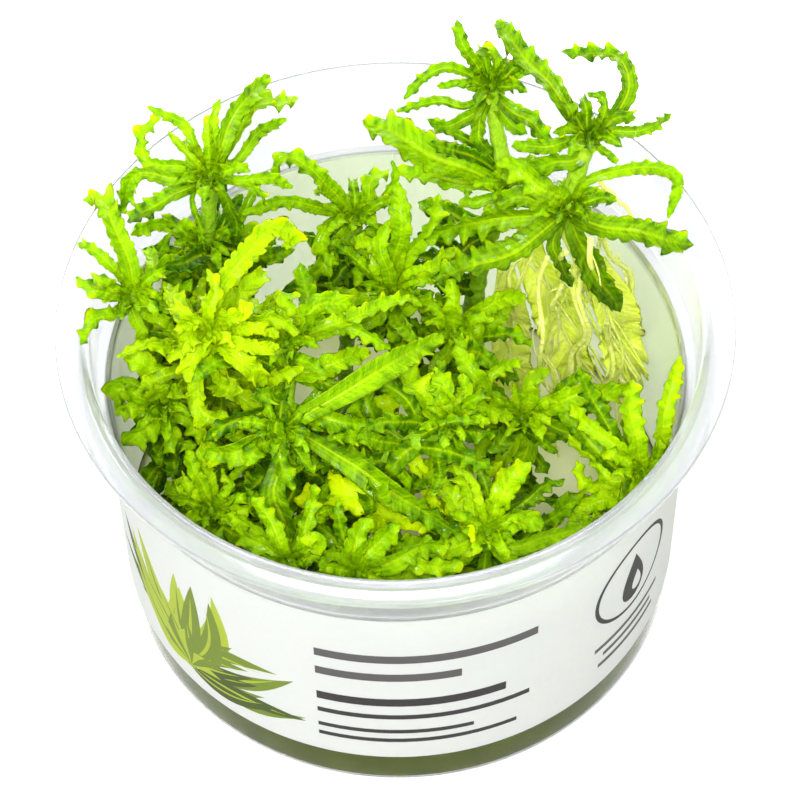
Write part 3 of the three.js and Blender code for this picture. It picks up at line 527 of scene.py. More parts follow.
def free_share(blade, owners, reach=ROOM):
    return sum(is_free(point, owners, reach) for point in blade) / max(len(blade), 1)


def settle(start, places, width, roll, owners):
    """The lift at which a leaf is free of what is there, and the places that its blade then takes."""
    chosen = None
    most = -1
    for lift in LIFTS:
        blade = blade_places(midline(start, places, lift), width, roll)
        free = free_share(blade, owners)
        if free > most + 1e-9:
            most = free
            chosen = (lift, blade)
        if free == 1:
            break
    return chosen


# Closed meshes: each is its points, its quads and its end triangles

RIDGE = 0.06


def ring_faces(bands, sides):
    """The quads between rings of points, and the fans to the two end points that follow the rings."""
    start = np.arange(bands)[:, None] * sides
    this = np.arange(sides)
    other = (this + 1) % sides
    quads = np.stack([start + this, start + other, start + sides + other, start + sides + this], -1)
    first = np.full(sides, (bands + 1) * sides)
    end = bands * sides
    fans = [np.stack([first, other, this], -1), np.stack([first + 1, end + this, end + other], -1)]
    return quads.reshape(-1, 4), np.vstack(fans)


def tube_mesh(points, radii, sides, rng):
    """A closed and slightly ridged tube along points with a radius at each."""
    along = unit(np.gradient(points, axis=0))
    side = np.zeros_like(along)
    last = unit(np.cross(along[0], [0.3, 1, 0.2]))
    for i, direction in enumerate(along):
        last = unit(last - direction * np.dot(last, direction))
        side[i] = last
    other = np.cross(along, side)
    angle = np.arange(sides) * 2 * math.pi / sides
    ridge = 1 + RIDGE * np.cos(angle * 3 + rng.uniform(0, 6)) + RIDGE * 0.5 * rng.standard_normal(sides)
    reach = radii[:, None] * ridge[None, :]
    ring = points[:, None] + side[:, None] * (reach * np.cos(angle))[..., None]
    ring = ring + other[:, None] * (reach * np.sin(angle))[..., None]
    ends = [points[:1] - along[:1] * radii[0] * 0.5, points[-1:] + along[-1:] * radii[-1] * 0.5]
    return np.vstack([ring.reshape(-1, 3), *ends]), *ring_faces(len(points) - 1, sides)


def rings_about_axis(radii, heights, steps):
    """The points of level rings, in order, each ring with its own radius."""
    angle = np.arange(steps) * 2 * math.pi / steps
    x = radii[:, None] * np.cos(angle)
    y = radii[:, None] * np.sin(angle)
    return np.stack([x, y, np.broadcast_to(heights, x.shape)], -1).reshape(-1, 3)


def lathe_mesh(profile, steps):
    """A closed solid of revolution from (radius, height) pairs that start and end on the axis."""
    inner = np.array(profile[1:-1], float)
    rings = rings_about_axis(inner[:, 0], inner[:, 1:], steps)
    ends = [[0, 0, profile[0][1]], [0, 0, profile[-1][1]]]
    return np.vstack([rings, ends]), *ring_faces(len(inner) - 1, steps)


def arc(centre, radius, first, last, count):
    """Points of a profile's rounded corner, its angles in degrees."""
    angles = np.radians(np.linspace(first, last, count))
    return [(centre[0] + radius * math.cos(a), centre[1] + radius * math.sin(a)) for a in angles]


def new_mesh(name, points, faces, *materials):
    mesh = bpy.data.meshes.new(name)
    mesh.from_pydata((np.asarray(points, float) * MM).tolist(), [], faces)
    for material in materials:
        mesh.materials.append(material)
    return mesh


def new_object(name, data):
    made = bpy.data.objects.new(name, data)
    bpy.context.scene.collection.objects.link(made)
    return made


class Piece:
    """Closed meshes gathered into one, with a tone, a rib, a kind and a place in the grain at each point."""

    def __init__(self):
        self.verts = []
        self.faces = []
        self.layers = {"tone": [], "rib": [], "kind": [], "grain": []}
        self.count = 0

    def add(self, mesh, tone, rib, kind=0.0, grain=None):
        verts, *faces = mesh
        for group in faces:
            self.faces += (group + self.count).tolist()
        self.verts.append(verts)
        for label, value in (("tone", tone), ("rib", rib), ("kind", kind)):
            self.layers[label].append(np.broadcast_to(np.asarray(value, float), len(verts)))
        self.layers["grain"].append(verts if grain is None else grain)
        self.count += len(verts)

    def build(self, name, *materials):
        mesh = new_mesh(name, np.vstack(self.verts), self.faces, *materials)
        for label, parts in self.layers.items():
            values = np.concatenate(parts).astype(np.float32)
            data_type, field = ("FLOAT_VECTOR", "vector") if label == "grain" else ("FLOAT", "value")
            layer = mesh.attributes.new(label, data_type, "POINT")
            layer.data.foreach_set(field, values.ravel())
        mesh.shade_smooth()
        return new_object(name, mesh)


# Leaves, which stay inside the cup's wall or pass over its rim

INNER_WALL = [
  (FLOOR, BASE_RADIUS - WALL), (SHOULDER_HEIGHT, SHOULDER_RADIUS - WALL), (SHOULDER_HEIGHT + 2.2, 45.0),
  (RIM_HEIGHT - 3, 45.3), (RIM_HEIGHT - 1, 45.6), (RIM_HEIGHT + 0.2, 47.2),
]
CUP_ROOM = 0.25
OVER_RIM = 2.5


def bell(u, width):
    return np.exp(-((u / width) ** 2))


def lobes(rng, length, width, pitch):
    """Where the lobes of a margin begin, as shares of the leaf, with how far each stands out and waves."""
    step = pitch * math.sqrt(max(width, 1.2) / 3) / length
    edges = [rng.uniform(-0.5, 0.5) * step]
    while edges[-1] < 1:
        edges.append(edges[-1] + step * rng.uniform(0.7, 1.45))
    out = rng.uniform(0.45, 1.0, len(edges))
    wave = rng.uniform(0.3, 1.0, len(edges)) * np.where(np.arange(len(edges)) % 2, 1, -1)
    return np.array(edges), out, wave


def margin(shares, edges, out, wave):
    """How deep each row's notch is, from 0 on a lobe to 1 between two, and how far the margin waves."""
    k = np.clip(np.searchsorted(edges, shares, side="right") - 1, 0, len(edges) - 2)
    x = np.clip((shares - edges[k]) / (edges[k + 1] - edges[k]), 0, 1)
    hump = np.sin(math.pi * x**1.15) ** 0.5
    return 1 - hump * out[k], np.sin(math.pi * x) * wave[k]


def clear_of_cup(points):
    """Points moved inside the cup's wall, or over its rim where that is nearer."""
    r = np.hypot(points[:, 0], points[:, 1])
    heights, radii = zip(*INNER_WALL)
    room = np.interp(points[:, 2], heights, radii) - CUP_ROOM
    out = r - room
    above = RIM_HEIGHT + CUP_ROOM - points[:, 2]
    touching = (out > 0) & (above > 0)
    over = touching & (above < out) & (above < OVER_RIM)
    points[over, 2] = RIM_HEIGHT + CUP_ROOM
    side = touching & ~over
    points[side, :2] *= (room[side] / r[side])[:, None]
    return points


def steady_sides(along, roll):
    """Sides that face as the frame's leaves do, carried on smoothly where a leaf turns to its facing."""
    count = len(along)
    cross = np.cross(along, FACING)
    weight = np.linalg.norm(cross, axis=1)
    sides = np.zeros_like(along)
    first = int(count * 0.3)
    sides[first] = unit(cross[first]) if weight[first] > 0.05 else unit(np.cross(along[first], [1, 0, 0]))
    for order in (range(first + 1, count), range(first - 1, -1, -1)):
        last = sides[first]
        for i in order:
            carried = unit(last - along[i] * np.dot(last, along[i]))
            aim = cross[i] / max(weight[i], 1e-6)
            aim = aim if np.dot(aim, carried) > 0 else -aim
            pull = 0.3 * weight[i] ** 2
            last = unit(carried * (1 - pull) + aim * pull)
            sides[i] = last
    return turn(sides, along, roll)


def leaf_margins(shares, length, width, rng, young, grown, rough):
    """The depth of the notches and the wave of both margins, each grown in from the foot."""
    deep = LOBE_OUT * (0.75 + 0.25 * young)
    notch, wave = np.zeros((2, 2, len(shares)))
    for hand in (0, 1):
        lobed, waved = margin(shares, *lobes(rng, length, width, LOBE))
        teeth, _ = margin(shares, *lobes(rng, length, width, TOOTH))
        notch[hand] = (lobed * deep + teeth * TOOTH_OUT) * grown
        wave[hand] = waved * rough
    return notch, wave


def leaf_tones(shares, top, bottom, wave):
    """The tone and the rib value of each point: paler on the rib and the veins, with painted light on the
    lifted edges and painted shade on the dipped ones.
    """
    rows, sides = len(shares), len(top) + len(bottom)
    veins = sum(0.6 * w * bell(top - at, VEIN_WIDTH) for at, w in VEINS)
    rib = np.concatenate([bell(top, 0.14) + veins, np.full(len(bottom), 0.1)])
    rib = np.tile(rib, rows) * np.repeat(1 - 0.75 * smoothstep(shares, 0.45, 1.0), sides)
    across = np.concatenate([top, bottom])
    edge = np.abs(across)
    tone = FOOT_TONE + TIP_TONE * np.repeat(shares, sides) - EDGE_TONE * np.tile(edge**2, rows)
    # Painted light where a margin lifts and painted shade where it dips, stronger towards the edge
    lifted = np.where(across < 0, wave[0][:, None], wave[1][:, None])
    tone += WAVE_PAINTED_LIGHT * (lifted * edge**1.5).ravel()
    return np.append(tone, [0.3, tone[-1]]), np.append(rib, [0.3, 0])


def leaf_mesh(line, width, rng, roll=0.0, crisp=1.0, young=0.0, small=False, plain=0.0):
    """One leaf with lobed and waved margins along a line: its mesh, tone, rib and grain."""
    top, bottom = (SMALL_TOP, SMALL_BOTTOM) if small else (TOP_SHARES, BOTTOM_SHARES)
    rows = int(np.clip(line.length / (ROW_STEP * (SMALL_ROWS if small else 1)), FEWEST_ROWS, MOST_ROWS))
    shares = np.linspace(0, 1, rows + 1)
    points = line.at(shares)
    along = unit(np.gradient(points, axis=0))
    side = steady_sides(along, rng.uniform(-TWIST, TWIST) * shares**1.5 + roll)
    up = unit(np.cross(side, along))

    widening = smoothstep(shares, -0.05, BLADE_WIDEST)
    closing = np.clip((shares - BLADE_TIP_START) / (BLADE_TIP_END - BLADE_TIP_START), 0, 1)
    tip = (1 - closing ** BLADE_BLUNT[0]) ** BLADE_BLUNT[1]
    half = 0.5 * width * (BLADE_BASE + (1 - BLADE_BASE) * widening) * tip
    half *= 1 + SWELL * wander(shares, rng, 7, 14)
    free = smoothstep(shares, *SWAY_FROM)
    points = points + side * (SWAY * width * wander(shares, rng, 6, 11) * free)[:, None]
    points = points + up * (DIP * width * wander(shares, rng, 8, 15) * free)[:, None]

    grown = smoothstep(shares, NOTCHED_FROM[0] + plain, NOTCHED_FROM[1] + plain) * crisp
    rough = smoothstep(shares, WAVED_FROM[0] + plain, WAVED_FROM[1] + plain / 3) * crisp
    notch, wave = leaf_margins(shares, line.length, width, rng, young, grown, rough)
    camber = CAMBER * rng.uniform(0.5, 1.5)
    groove = GROOVE * width / 3

    def surface(u):
        hand = int(u >= 0)
        size = abs(u)
        out = u * half * (1 - notch[hand] * size**1.5)
        rise = half * (camber * size**1.7 + wave[hand] * size**2.2)
        rise = rise - groove * bell(u, 0.2) * smoothstep(shares, 0, 0.3) * (1 - closing)
        veins = sum(w * bell(u - at, VEIN_WIDTH) for at, w in VEINS)
        rise = rise + VEIN_RISE * width * veins * (1 - rough)
        return points + side * out[:, None] + up * rise[:, None]

    thick = THICKNESS * (0.6 + 0.4 * min(width / 3, 1.4)) * (1 - 0.45 * shares)
    ring = [surface(u) for u in top]
    for u in bottom:
        depth = thick * (1 - 0.5 * abs(u) ** 2) + RIB * width / 3 * bell(u, 0.25) * (1 - 0.7 * shares)
        ring.append(surface(u * 0.98) - up * np.minimum(depth, 0.9 * half + 0.02)[:, None])
    sides = len(ring)
    ends = [points[:1] - along[:1] * 0.05, points[-1:] + along[-1:] * half[-1]]
    verts = clear_of_cup(np.vstack([np.stack(ring, 1).reshape(-1, 3), *ends]))

    tone, rib = leaf_tones(shares, top, bottom, wave)
    run = np.append(np.repeat(shares * line.length, sides), [0, line.length])
    across = np.append((np.concatenate([top, bottom]) * half[:, None]).ravel(), [0, 0])
    apart = np.full(len(run), rng.uniform(0, 900))
    grain = np.stack([run - GRAIN_SLANT * np.abs(across), GRAIN_ACROSS * across, apart], -1)
    return (verts, *ring_faces(rows, sides)), tone, rib, grain


# How far each whorl's colour goes from green to yellow
YELLOW = {"left_bright": 0.4, "front_leaf": 0.9, "centre_stalk": 0.5, "right_back": 0.05}

# Painted light and shade by whorl, partly the whorl's own colour: how much brighter or darker its leaves are
# painted than the rest
PAINTED_LIGHT_BY_WHORL = {
  "right_back_top": -0.17, "back_right": -0.14, "right_back": -0.16, "back_left": -0.03, "right_low": 0.12,
  "right_front": 0.12, "front_right": 0.08, "centre_right": 0.03, "centre": -0.08, "centre_bud": 0.03,
}

# How much of a leaf near its foot has a plain margin
PLAIN = {"centre": 0.36, "centre_stalk": 0.36, "front": 0.12, "right_low": 0.1, "back_centre_right": 0.12}

# How far below its top a stem is bare
BARE = {
  "back_left": 17, "right_back_top": 12, "back_right": 14, "right_back": 14, "left": 7, "back_centre": 8,
}
BARE_ELSEWHERE = 1.5

# Leaves below the top ones: tiers down a stem, and how near they stay to the frame's leaves and stems
TIER_STEP = 2.6
TIER_LEAVES = 5
TIER_TRIES = 4
TIER_BOTTOM = 27.0
TIER_ROOM = 0.85
TIER_NEAR = 3.5
TIER_RADIUS = 42.0
TIER_FREE = 0.9
TIER_WIDTHS = (1.9, 4.0)
TIER_LENGTHS = (7, 17)
# Tier leaves get a little painted shade
TIER_PAINTED_SHADE = -0.08

# The corner where the roots hang free of leaves, from these places on to the right and the back
ROOT_SIDE = (7.0, 3.0)

# Painted shade: how leaves darken with the depth below the top of their whorl, and the painted light that
# the top leaves get
PAINTED_SHADE_FROM = 2.0
PAINTED_SHADE_OVER = 34.0
DEEPEST_PAINTED_SHADE = 0.6
TOP_PAINTED_LIGHT = 0.08

# Where the random draws of each kind of piece start
LEAF_SEED = 100
STEM_SEED = 300
ROOT_SEED = 499
PRINT_SEED = 44

# A whorl's bud and the young leaves round it, each a golden turn from the one before
BUD_RADIUS = 1.5
BUD_LEAVES = 15
BUD_CRISP = 1.3
NO_YOUNG_LEAVES = "centre_stalk"
GOLDEN_TURN = 2.4
UP = unit(np.array([0.0, -0.25, 1.0]))

# The frame's stems and leaves: the places that they take, and the cells that the leaves below may reach
stems = {name: (plant, places) for name, plant, _, *places in STEMS}
reached = set()
settled = {}


def mark_reached(points):
    for point in points:
        reached.update(cells_near(point, TIER_NEAR))


for _, plant, _, *places in STEMS:
    line = midline(places[0], places[1:], 0)
    count = math.ceil(line.length)
    occupy(line.at(np.arange(count + 1) / count), f"plant {plant}")
    mark_reached(curve_points(places, 40))

for name, leaves in WHORLS.items():
    plant, (bud, *_) = stems[name]
    blades = []
    settled[name] = []
    for i, (width, *places) in enumerate(leaves):
        roll = ROLL * math.sin(ROLL_TURN * i)
        lift, blade = settle(bud, places, width, roll, [f"plant {plant}", name])
        line = midline(bud, places, lift, 96)
        settled[name].append((width, roll, line))
        mark_reached(line.points)
        blades.append(blade)
    occupy(np.vstack(blades), name)


def add_leaf(piece, line, width, rng, roll, yellow, top, painted_light_shift, **form):
    """A leaf in its piece, with painted shade the further it is below its whorl's top, and the painted light
    and shade of its place and whorl added.
    """
    mesh, tone, rib, grain = leaf_mesh(line, width, rng, roll, **form)
    # Painted shade by depth below the whorl's top
    dark = np.clip((top - PAINTED_SHADE_FROM - mesh[0][:, 2]) / PAINTED_SHADE_OVER, 0, DEEPEST_PAINTED_SHADE)
    tone = np.clip(tone + painted_light_shift - dark + rng.uniform(-0.08, 0.08), 0, 1)
    piece.add(mesh, tone, rib, yellow, grain)


def tier_places(start, azimuth, length, rng):
    """A leaf's line out of a stem, curving up and over."""
    out = outward(azimuth)
    climb = rng.uniform(0.1, 1.1)
    bend = rng.uniform(-0.6, 0.2)
    sideways = np.array([-out[1], out[0], 0]) * rng.uniform(-0.3, 0.3)
    first = start + (out + sideways + [0, 0, climb]) * length * 0.3
    second = first + (out - sideways + [0, 0, climb + bend * 0.5]) * length * 0.3
    third = second + (out - sideways * 2 + [0, 0, climb + bend * 1.7]) * length * 0.28
    return [first, second, third]


def tier_leaf(start, turned, plant, rng):
    """A leaf's line and width where there is room for it, or nothing after a few tries."""
    for _ in range(TIER_TRIES):
        azimuth = turned + rng.uniform(-0.6, 0.6)
        width = rng.uniform(*TIER_WIDTHS)
        length = rng.uniform(*TIER_LENGTHS)
        line = midline(start, tier_places(start, azimuth, length, rng), 0, 48)
        points = line.points
        if np.hypot(points[:, 0], points[:, 1]).max() > TIER_RADIUS:
            continue
        if points[-1, 0] > ROOT_SIDE[0] and points[-1, 1] > ROOT_SIDE[1]:
            continue
        if not all(cell_of(point, TIER_NEAR) in reached for point in points[::4]):
            continue
        blade = blade_places(line, width, 0)
        if free_share(blade, (f"plant {plant}",), TIER_ROOM) >= TIER_FREE:
            occupy(blade, "tier")
            return line, width
    return None


def fill_stem(piece, line, plant, yellow, bare, rng):
    """Leaves in tiers down a stem, where there is room between the others."""
    down = bare
    top = line.points[0][2]
    turned = rng.uniform(0, 6)
    while down < line.length:
        start = line.at(down / line.length)
        down += TIER_STEP
        if start[2] < TIER_BOTTOM:
            break
        for _ in range(TIER_LEAVES):
            turned += GOLDEN_TURN
            found = tier_leaf(start, turned, plant, rng)
            if found:
                roll = rng.uniform(-0.5, 0.5)
                add_leaf(piece, *found, rng, roll, yellow, top, TIER_PAINTED_SHADE, small=True)


def bud_leaves(piece, place, yellow, painted_light_shift, rng):
    """Young leaves curled over a bud."""
    turned = rng.uniform(0, 6)
    for i in range(BUD_LEAVES):
        out = outward(turned + i * GOLDEN_TURN)
        size = 1.6 + 0.36 * i
        start = np.array(place, float) + UP * 0.4
        first = start + out * size * 0.35 + UP * size * 0.45
        second = first + out * size * 0.35 + UP * size * 0.3
        third = second + out * size * 0.3 - UP * size * 0.12
        line = smooth_line([start, first, second, third], 40)
        width = 0.9 + 0.13 * i
        add_leaf(piece, line, width, rng, 0, yellow, place[2], painted_light_shift, crisp=BUD_CRISP, young=1, small=True)


def bud_mesh(place, rng):
    """A rounded bud."""
    verts, quads, caps = lathe_mesh(arc((0, 0), BUD_RADIUS, -90, 90, 9), 14)
    verts = verts * (1 + 0.05 * rng.standard_normal((len(verts), 1)))
    return verts + np.array(place, float), quads, caps


# Each visual piece with the node that it replaces and its slot
pieces = {}

for number, name in enumerate(WHORLS):
    rng = np.random.default_rng(LEAF_SEED + number)
    piece = Piece()
    plant, places = stems[name]
    bud = places[0]
    yellow = YELLOW.get(name, 0)
    # The whorl's painted light and shade, for its top leaves and its young leaves
    shade = PAINTED_LIGHT_BY_WHORL.get(name, 0)
    plain = PLAIN.get(name, 0)
    for width, roll, line in settled[name]:
        add_leaf(piece, line, width, rng, roll, yellow, bud[2], TOP_PAINTED_LIGHT + shade, plain=plain)
    fill_stem(piece, smooth_line(places), plant, yellow, BARE.get(name, BARE_ELSEWHERE), rng)
    if name != NO_YOUNG_LEAVES:
        bud_leaves(piece, bud, yellow, shade, rng)
    piece.add(bud_mesh(bud, rng), 0.4, 0.1, yellow)
    pieces[f"leaves_{name}"] = (piece, f"whorl_{name}", "leaf")


# Stems: round, a little ridged, swollen where leaves left them, thinner to the top

STEM_STEP = 0.8
STEM_RING = 12
STEM_SLIMMER = 0.94
NODE_PITCH = 6.0
NODE_SWELL = 0.16

for number, (name, _, radius, *places) in enumerate(STEMS):
    rng = np.random.default_rng(STEM_SEED + number)
    line = smooth_line(places)
    count = math.ceil(line.length / STEM_STEP)
    shares = np.arange(count + 1) / count
    along = line.length * shares
    swell = 1 + NODE_SWELL * np.cos(along * 2 * math.pi / NODE_PITCH + rng.uniform(0, 6)) ** 8
    radii = radius * STEM_SLIMMER * swell * (0.92 + 0.08 * shares)
    mesh = tube_mesh(line.at(shares), radii, STEM_RING, rng)
    piece = Piece()
    piece.add(mesh, np.clip(0.01 * mesh[0][:, 2], 0, 0.75), 0.15, 0.1)
    pieces[f"stalk_{name}"] = (piece, f"stem_{name}", "stem")


# Roots: a thick one with fine strands round it, and thin old leaves that hang among them

ROOT_SLIMMER = 0.85
ROOT_RING = 10
ROOT_WOBBLE = 0.012
ROOT_STRANDS = 5
STRAND_RING = 7
STRAND_STEPS = 40
STRAND_SPREAD = 2.2
STRAND_RADII = (0.12, 0.28)
SHORTEST_STRAND = 0.35

# A fan of strands beside one root, between two lines at its top and at its foot
FAN_ROOT = 3
FAN_STRANDS = 12
FAN_STEPS = 30
FAN_RADII = (0.15, 0.36)
FAN_TOP = ([20.5, 21.6, 47], [31.8, 17.4, 52])
FAN_FOOT = ([33.5, 18.4, 14], [40.6, 13.1, 28])

# More thick strands beside a root: its number, radius, then the places along each
STRANDS = [
  [
    2, 0.6, [25.8, 15.7, 65], [27.3, 14.7, 56], [28.4, 13.9, 47], [29.2, 14.1, 35], [25.9, 15.9, 20],
    [22.2, 15.1, 11],
  ],
  [
    2, 0.45, [26.6, 15.2, 64], [28.3, 14.3, 54], [29.3, 13.6, 45], [29.9, 13.8, 34], [28, 16, 20],
    [27, 17, 11],
  ],
  [1, 0.35, [30.9, 17.6, 71], [33.8, 17.4, 67], [36.4, 16.7, 63.6]],
]

# Old leaves: the number of the root beside each, width, then the places along its midline
OLD_LEAVES = [
  [2, 8.0, [21, 23.5, 55], [21.6, 23, 47], [24.2, 20.5, 40], [27.3, 19.5, 30], [31, 21, 18]],
  [1, 8.5, [30.2, 18, 54], [34, 17, 42], [36.9, 17.2, 30], [38, 18, 18]],
  [6, 7.0, [17.3, 20, 50], [18.2, 19.5, 36], [18.9, 20.5, 22], [19.6, 21.2, 12]],
]
OLD_CRISP = 0.45
OLD_TONE = 0.9


def thick_strand(piece, radius, places, rng):
    """A strand that wavers along its places and thins downwards."""
    line = smooth_line(places)
    shares = np.linspace(0, 1, 61)
    wobble = ROOT_WOBBLE * line.length * wander(shares[:, None], rng, 12, 22, 3)
    points = keep_off_wall(line.at(shares) + wobble)
    piece.add(tube_mesh(points, radius * (1.1 - 0.3 * shares), ROOT_RING, rng), 0.5, 0.2, 0.7)


def fine_strand(piece, line, rng):
    """A thin strand that leaves a root, bends out and comes back to it."""
    shift = rng.uniform(-1, 1, 3) * STRAND_SPREAD
    first, last = sorted(rng.uniform(0, 1, 2))
    last = max(last, min(first + SHORTEST_STRAND, 1))
    part = np.linspace(first, last, STRAND_STEPS + 1)
    bend = np.sin(np.linspace(0, math.pi, STRAND_STEPS + 1))[:, None] * shift
    points = keep_off_wall(line.at(part) + bend + 0.25 * wander(part[:, None], rng, 16, 30, 3))
    points[:, 2] = np.maximum(points[:, 2], GEL_TOP - 1)
    mesh = tube_mesh(points, np.full(STRAND_STEPS + 1, rng.uniform(*STRAND_RADII)), STRAND_RING, rng)
    piece.add(mesh, rng.uniform(0.2, 0.9), 0.2, 0.8)


def between(ends, share):
    return np.array(ends[0]) * (1 - share) + np.array(ends[1]) * share


def fan_strand(piece, rng):
    """A thin strand from somewhere on the fan's top line to somewhere on its foot line."""
    at_top, at_foot = rng.uniform(0, 1, 2)
    top, foot = between(FAN_TOP, at_top), between(FAN_FOOT, at_foot)
    middle = (top + foot) / 2 + rng.uniform(-1.5, 1.5, 3)
    points = keep_off_wall(curve_points([top, middle, foot], FAN_STEPS))
    mesh = tube_mesh(points, np.full(FAN_STEPS + 1, rng.uniform(*FAN_RADII)), STRAND_RING, rng)
    piece.add(mesh, rng.uniform(0, 0.8), 0.2, rng.uniform(0.2, 1))


def old_leaf(piece, width, places, rng):
    line = midline(places[0], places[1:], 0, 60)
    mesh, tone, rib, grain = leaf_mesh(line, width, rng, rng.uniform(-0.4, 0.4), OLD_CRISP)
    piece.add(mesh, np.clip(tone * OLD_TONE, 0, 1), rib, rng.uniform(0, 0.5), grain)


for number, (radius, *places) in enumerate(ROOTS, 1):
    rng = np.random.default_rng(ROOT_SEED + number)
    piece = Piece()
    thick_strand(piece, radius * ROOT_SLIMMER, places, rng)
    for beside, size, *way in STRANDS:
        if beside == number:
            thick_strand(piece, size, way, rng)
    for _ in range(ROOT_STRANDS):
        fine_strand(piece, smooth_line(places), rng)
    if number == FAN_ROOT:
        for _ in range(FAN_STRANDS):
            fan_strand(piece, rng)
    for beside, width, *way in OLD_LEAVES:
        if beside == number:
            old_leaf(piece, width, way, rng)
    pieces[f"root_strands_{number}"] = (piece, f"root_{number}", "root")


# The cup: a thin wall with a rounded base, a collar under the rim and a flat flared rim

THIN_CORNER = 0.7
THINNING = 3.0

# Points of the shoulder, the rim and the inside, as radius and height
SHOULDER = [
  (SHOULDER_RADIUS, SHOULDER_HEIGHT), (SHOULDER_RADIUS + 0.25, SHOULDER_HEIGHT + 0.25),
  (COLLAR_RADIUS - 0.3, SHOULDER_HEIGHT + 0.75), (COLLAR_RADIUS, SHOULDER_HEIGHT + 1.15),
]
RIM = [
  (46.5, 59.0), (46.8, 59.7), (47.6, 60.4), (49.9, 61.0), (50.4, 61.15), (RIM_RADIUS, 61.4),
  (RIM_RADIUS, 61.95), (50.3, RIM_HEIGHT), (49.9, RIM_HEIGHT), (47.6, RIM_HEIGHT), (46.7, 62.1),
]
INSIDE = [
  (46.05, 61.7), (45.75, 61.1), (45.6, 59.2), (45.1, 51.4), (44.9, 50.9), (43.7, 50.3), (43.4, 49.9),
  (SHOULDER_RADIUS - WALL, 49.2),
]


def outer_radius(z):
    return np.interp(z, [BASE_CORNER, SHOULDER_HEIGHT], [BASE_RADIUS, SHOULDER_RADIUS])


def cup_profile():
    corner = arc((BASE_RADIUS - BASE_CORNER, BASE_CORNER), BASE_CORNER, -90, 0, 7)
    outer = [(0, 0), *corner, (outer_radius(HAZE_FROM), HAZE_FROM), *SHOULDER, *RIM]
    inner = [*INSIDE, (outer_radius(HAZE_FROM) - WALL, HAZE_FROM)]
    inner += [(outer_radius(THIN_BELOW) - WALL, THIN_BELOW + THINNING)]
    inner += [(outer_radius(THIN_BELOW) - THIN_WALL, THIN_BELOW)]
    centre = (BASE_RADIUS - THIN_WALL - THIN_CORNER, THIN_FLOOR + THIN_CORNER)
    return outer + inner + arc(centre, THIN_CORNER, 0, -90, 7) + [(0, THIN_FLOOR)]


cup = Piece()
cup.add(lathe_mesh(cup_profile(), CUP_STEPS), 0, 0)
pieces["cup_clear"] = (cup, "cup", "cup")


# The gel: a shallow cake with an uneven top that climbs a little at the wall

GEL_RINGS = 40
GEL_AROUND = 96
GEL_CLIMB = 0.7
GEL_CLIMB_WIDTH = 1.1
GEL_HOLLOW = 0.75
GEL_GAP = 0.05
GEL_CORNER = 0.65
GEL_SIDE = BASE_RADIUS - THIN_WALL - GEL_GAP


def gel_mesh():
    radii = np.linspace(0.02, 1, GEL_RINGS) * GEL_SIDE
    top = rings_about_axis(radii, 0, GEL_AROUND)
    x, y = top[:, 0], top[:, 1]
    climb = GEL_CLIMB * np.exp(-(GEL_SIDE - np.repeat(radii, GEL_AROUND)) / GEL_CLIMB_WIDTH)
    top[:, 2] = GEL_TOP - GEL_HOLLOW + climb + 0.25 * np.sin(x * 0.21 + 1) * np.cos(y * 0.17)
    top[:, 2] += 0.16 * np.sin(x * 0.5 + y * 0.4)
    corner = arc((GEL_SIDE - GEL_CORNER, THIN_FLOOR + 0.7), GEL_CORNER, 0, -90, 6)
    side = np.array([(GEL_SIDE, 6.0), (GEL_SIDE, 3.4), *corner])
    lower = rings_about_axis(side[:, 0], side[:, 1:], GEL_AROUND)
    ends = [[0, 0, top[:GEL_AROUND, 2].mean()], [0, 0, THIN_FLOOR + GEL_GAP]]
    quads, caps = ring_faces(GEL_RINGS + len(side) - 1, GEL_AROUND)
    return np.vstack([top, lower, ends]), np.roll(quads[:, ::-1], 1, 1), caps[:, [0, 2, 1]]


# The gel's tone is 1 on its top and 0 at its side, which takes the painted shade
gel = Piece()
mesh = gel_mesh()
inward = GEL_SIDE - np.hypot(mesh[0][:, 0], mesh[0][:, 1])
gel.add(mesh, smoothstep(inward, 0.2, 1.2) * smoothstep(mesh[0][:, 2], 5, 6), 0)
pieces["gel_cake"] = (gel, "gel", "gel")


# The paper band, printed with a plain spray of leaves, a ring with a drop, and bars

PAPER_RADIUS = 44.4
SEAM_SHARE = 0.9998
PAPER_END = math.pi * PAPER_RADIUS * SEAM_SHARE
PRINT_STEP = math.radians(2.5) * PAPER_RADIUS
PRINT_JOIN = 1e-4
INKS = ["paper", "back", "dark", "green", "lime", "deep", "grey", "faint"]

# Where the print lies, in millimetres along the band from its front and up it
SPRAY_FOOT = (-37, 12)
SPRAY_LEAVES = 34
SHORT_LEAVES = 9
RING_CENTRE = (41, 32)
RING_RADIUS = 9.2
RING_LINE = 0.8

# Bars in place of words: left end, first foot, pitch, lengths, thickness, loss of thickness and ink
BARS = [
  (-13, 36.2, 5.2, (34, 22), 2.1, 0, "grey"),
  (-13, 23.6, 3.9, (29, 33), 2.2, 0.9, "dark"),
  (-13, 15.4, 2.7, (24, 31), 1.1, 0, "dark"),
]

# Bars below the ring by their lengths, and faint ones towards the back by their left ends
RING_BARS = (17, 13, 15)
BACK_BARS = (84, -108)


def leaf_shape(x, z, length, width, angle, bend=0.15):
    """The outline of a simple leaf from its foot."""
    t = np.linspace(0, 1, 15)
    half = width / 2 * np.sin(math.pi * t**0.8) ** 0.9
    middle = bend * length * np.sin(math.pi * t)
    lower = np.stack([t * length, middle - half], -1)
    upper = np.stack([t * length, middle + half], -1)[::-1]
    outline = np.vstack([lower, upper[1:-1]])
    c, s = math.cos(angle), math.sin(angle)
    return [(x + c * px - s * pz, z + s * px + c * pz) for px, pz in outline]


def disc(x, z, radius):
    angles = np.linspace(0, 2 * math.pi, 48, endpoint=False)
    return [(x + radius * math.cos(a), z + radius * math.sin(a)) for a in angles]


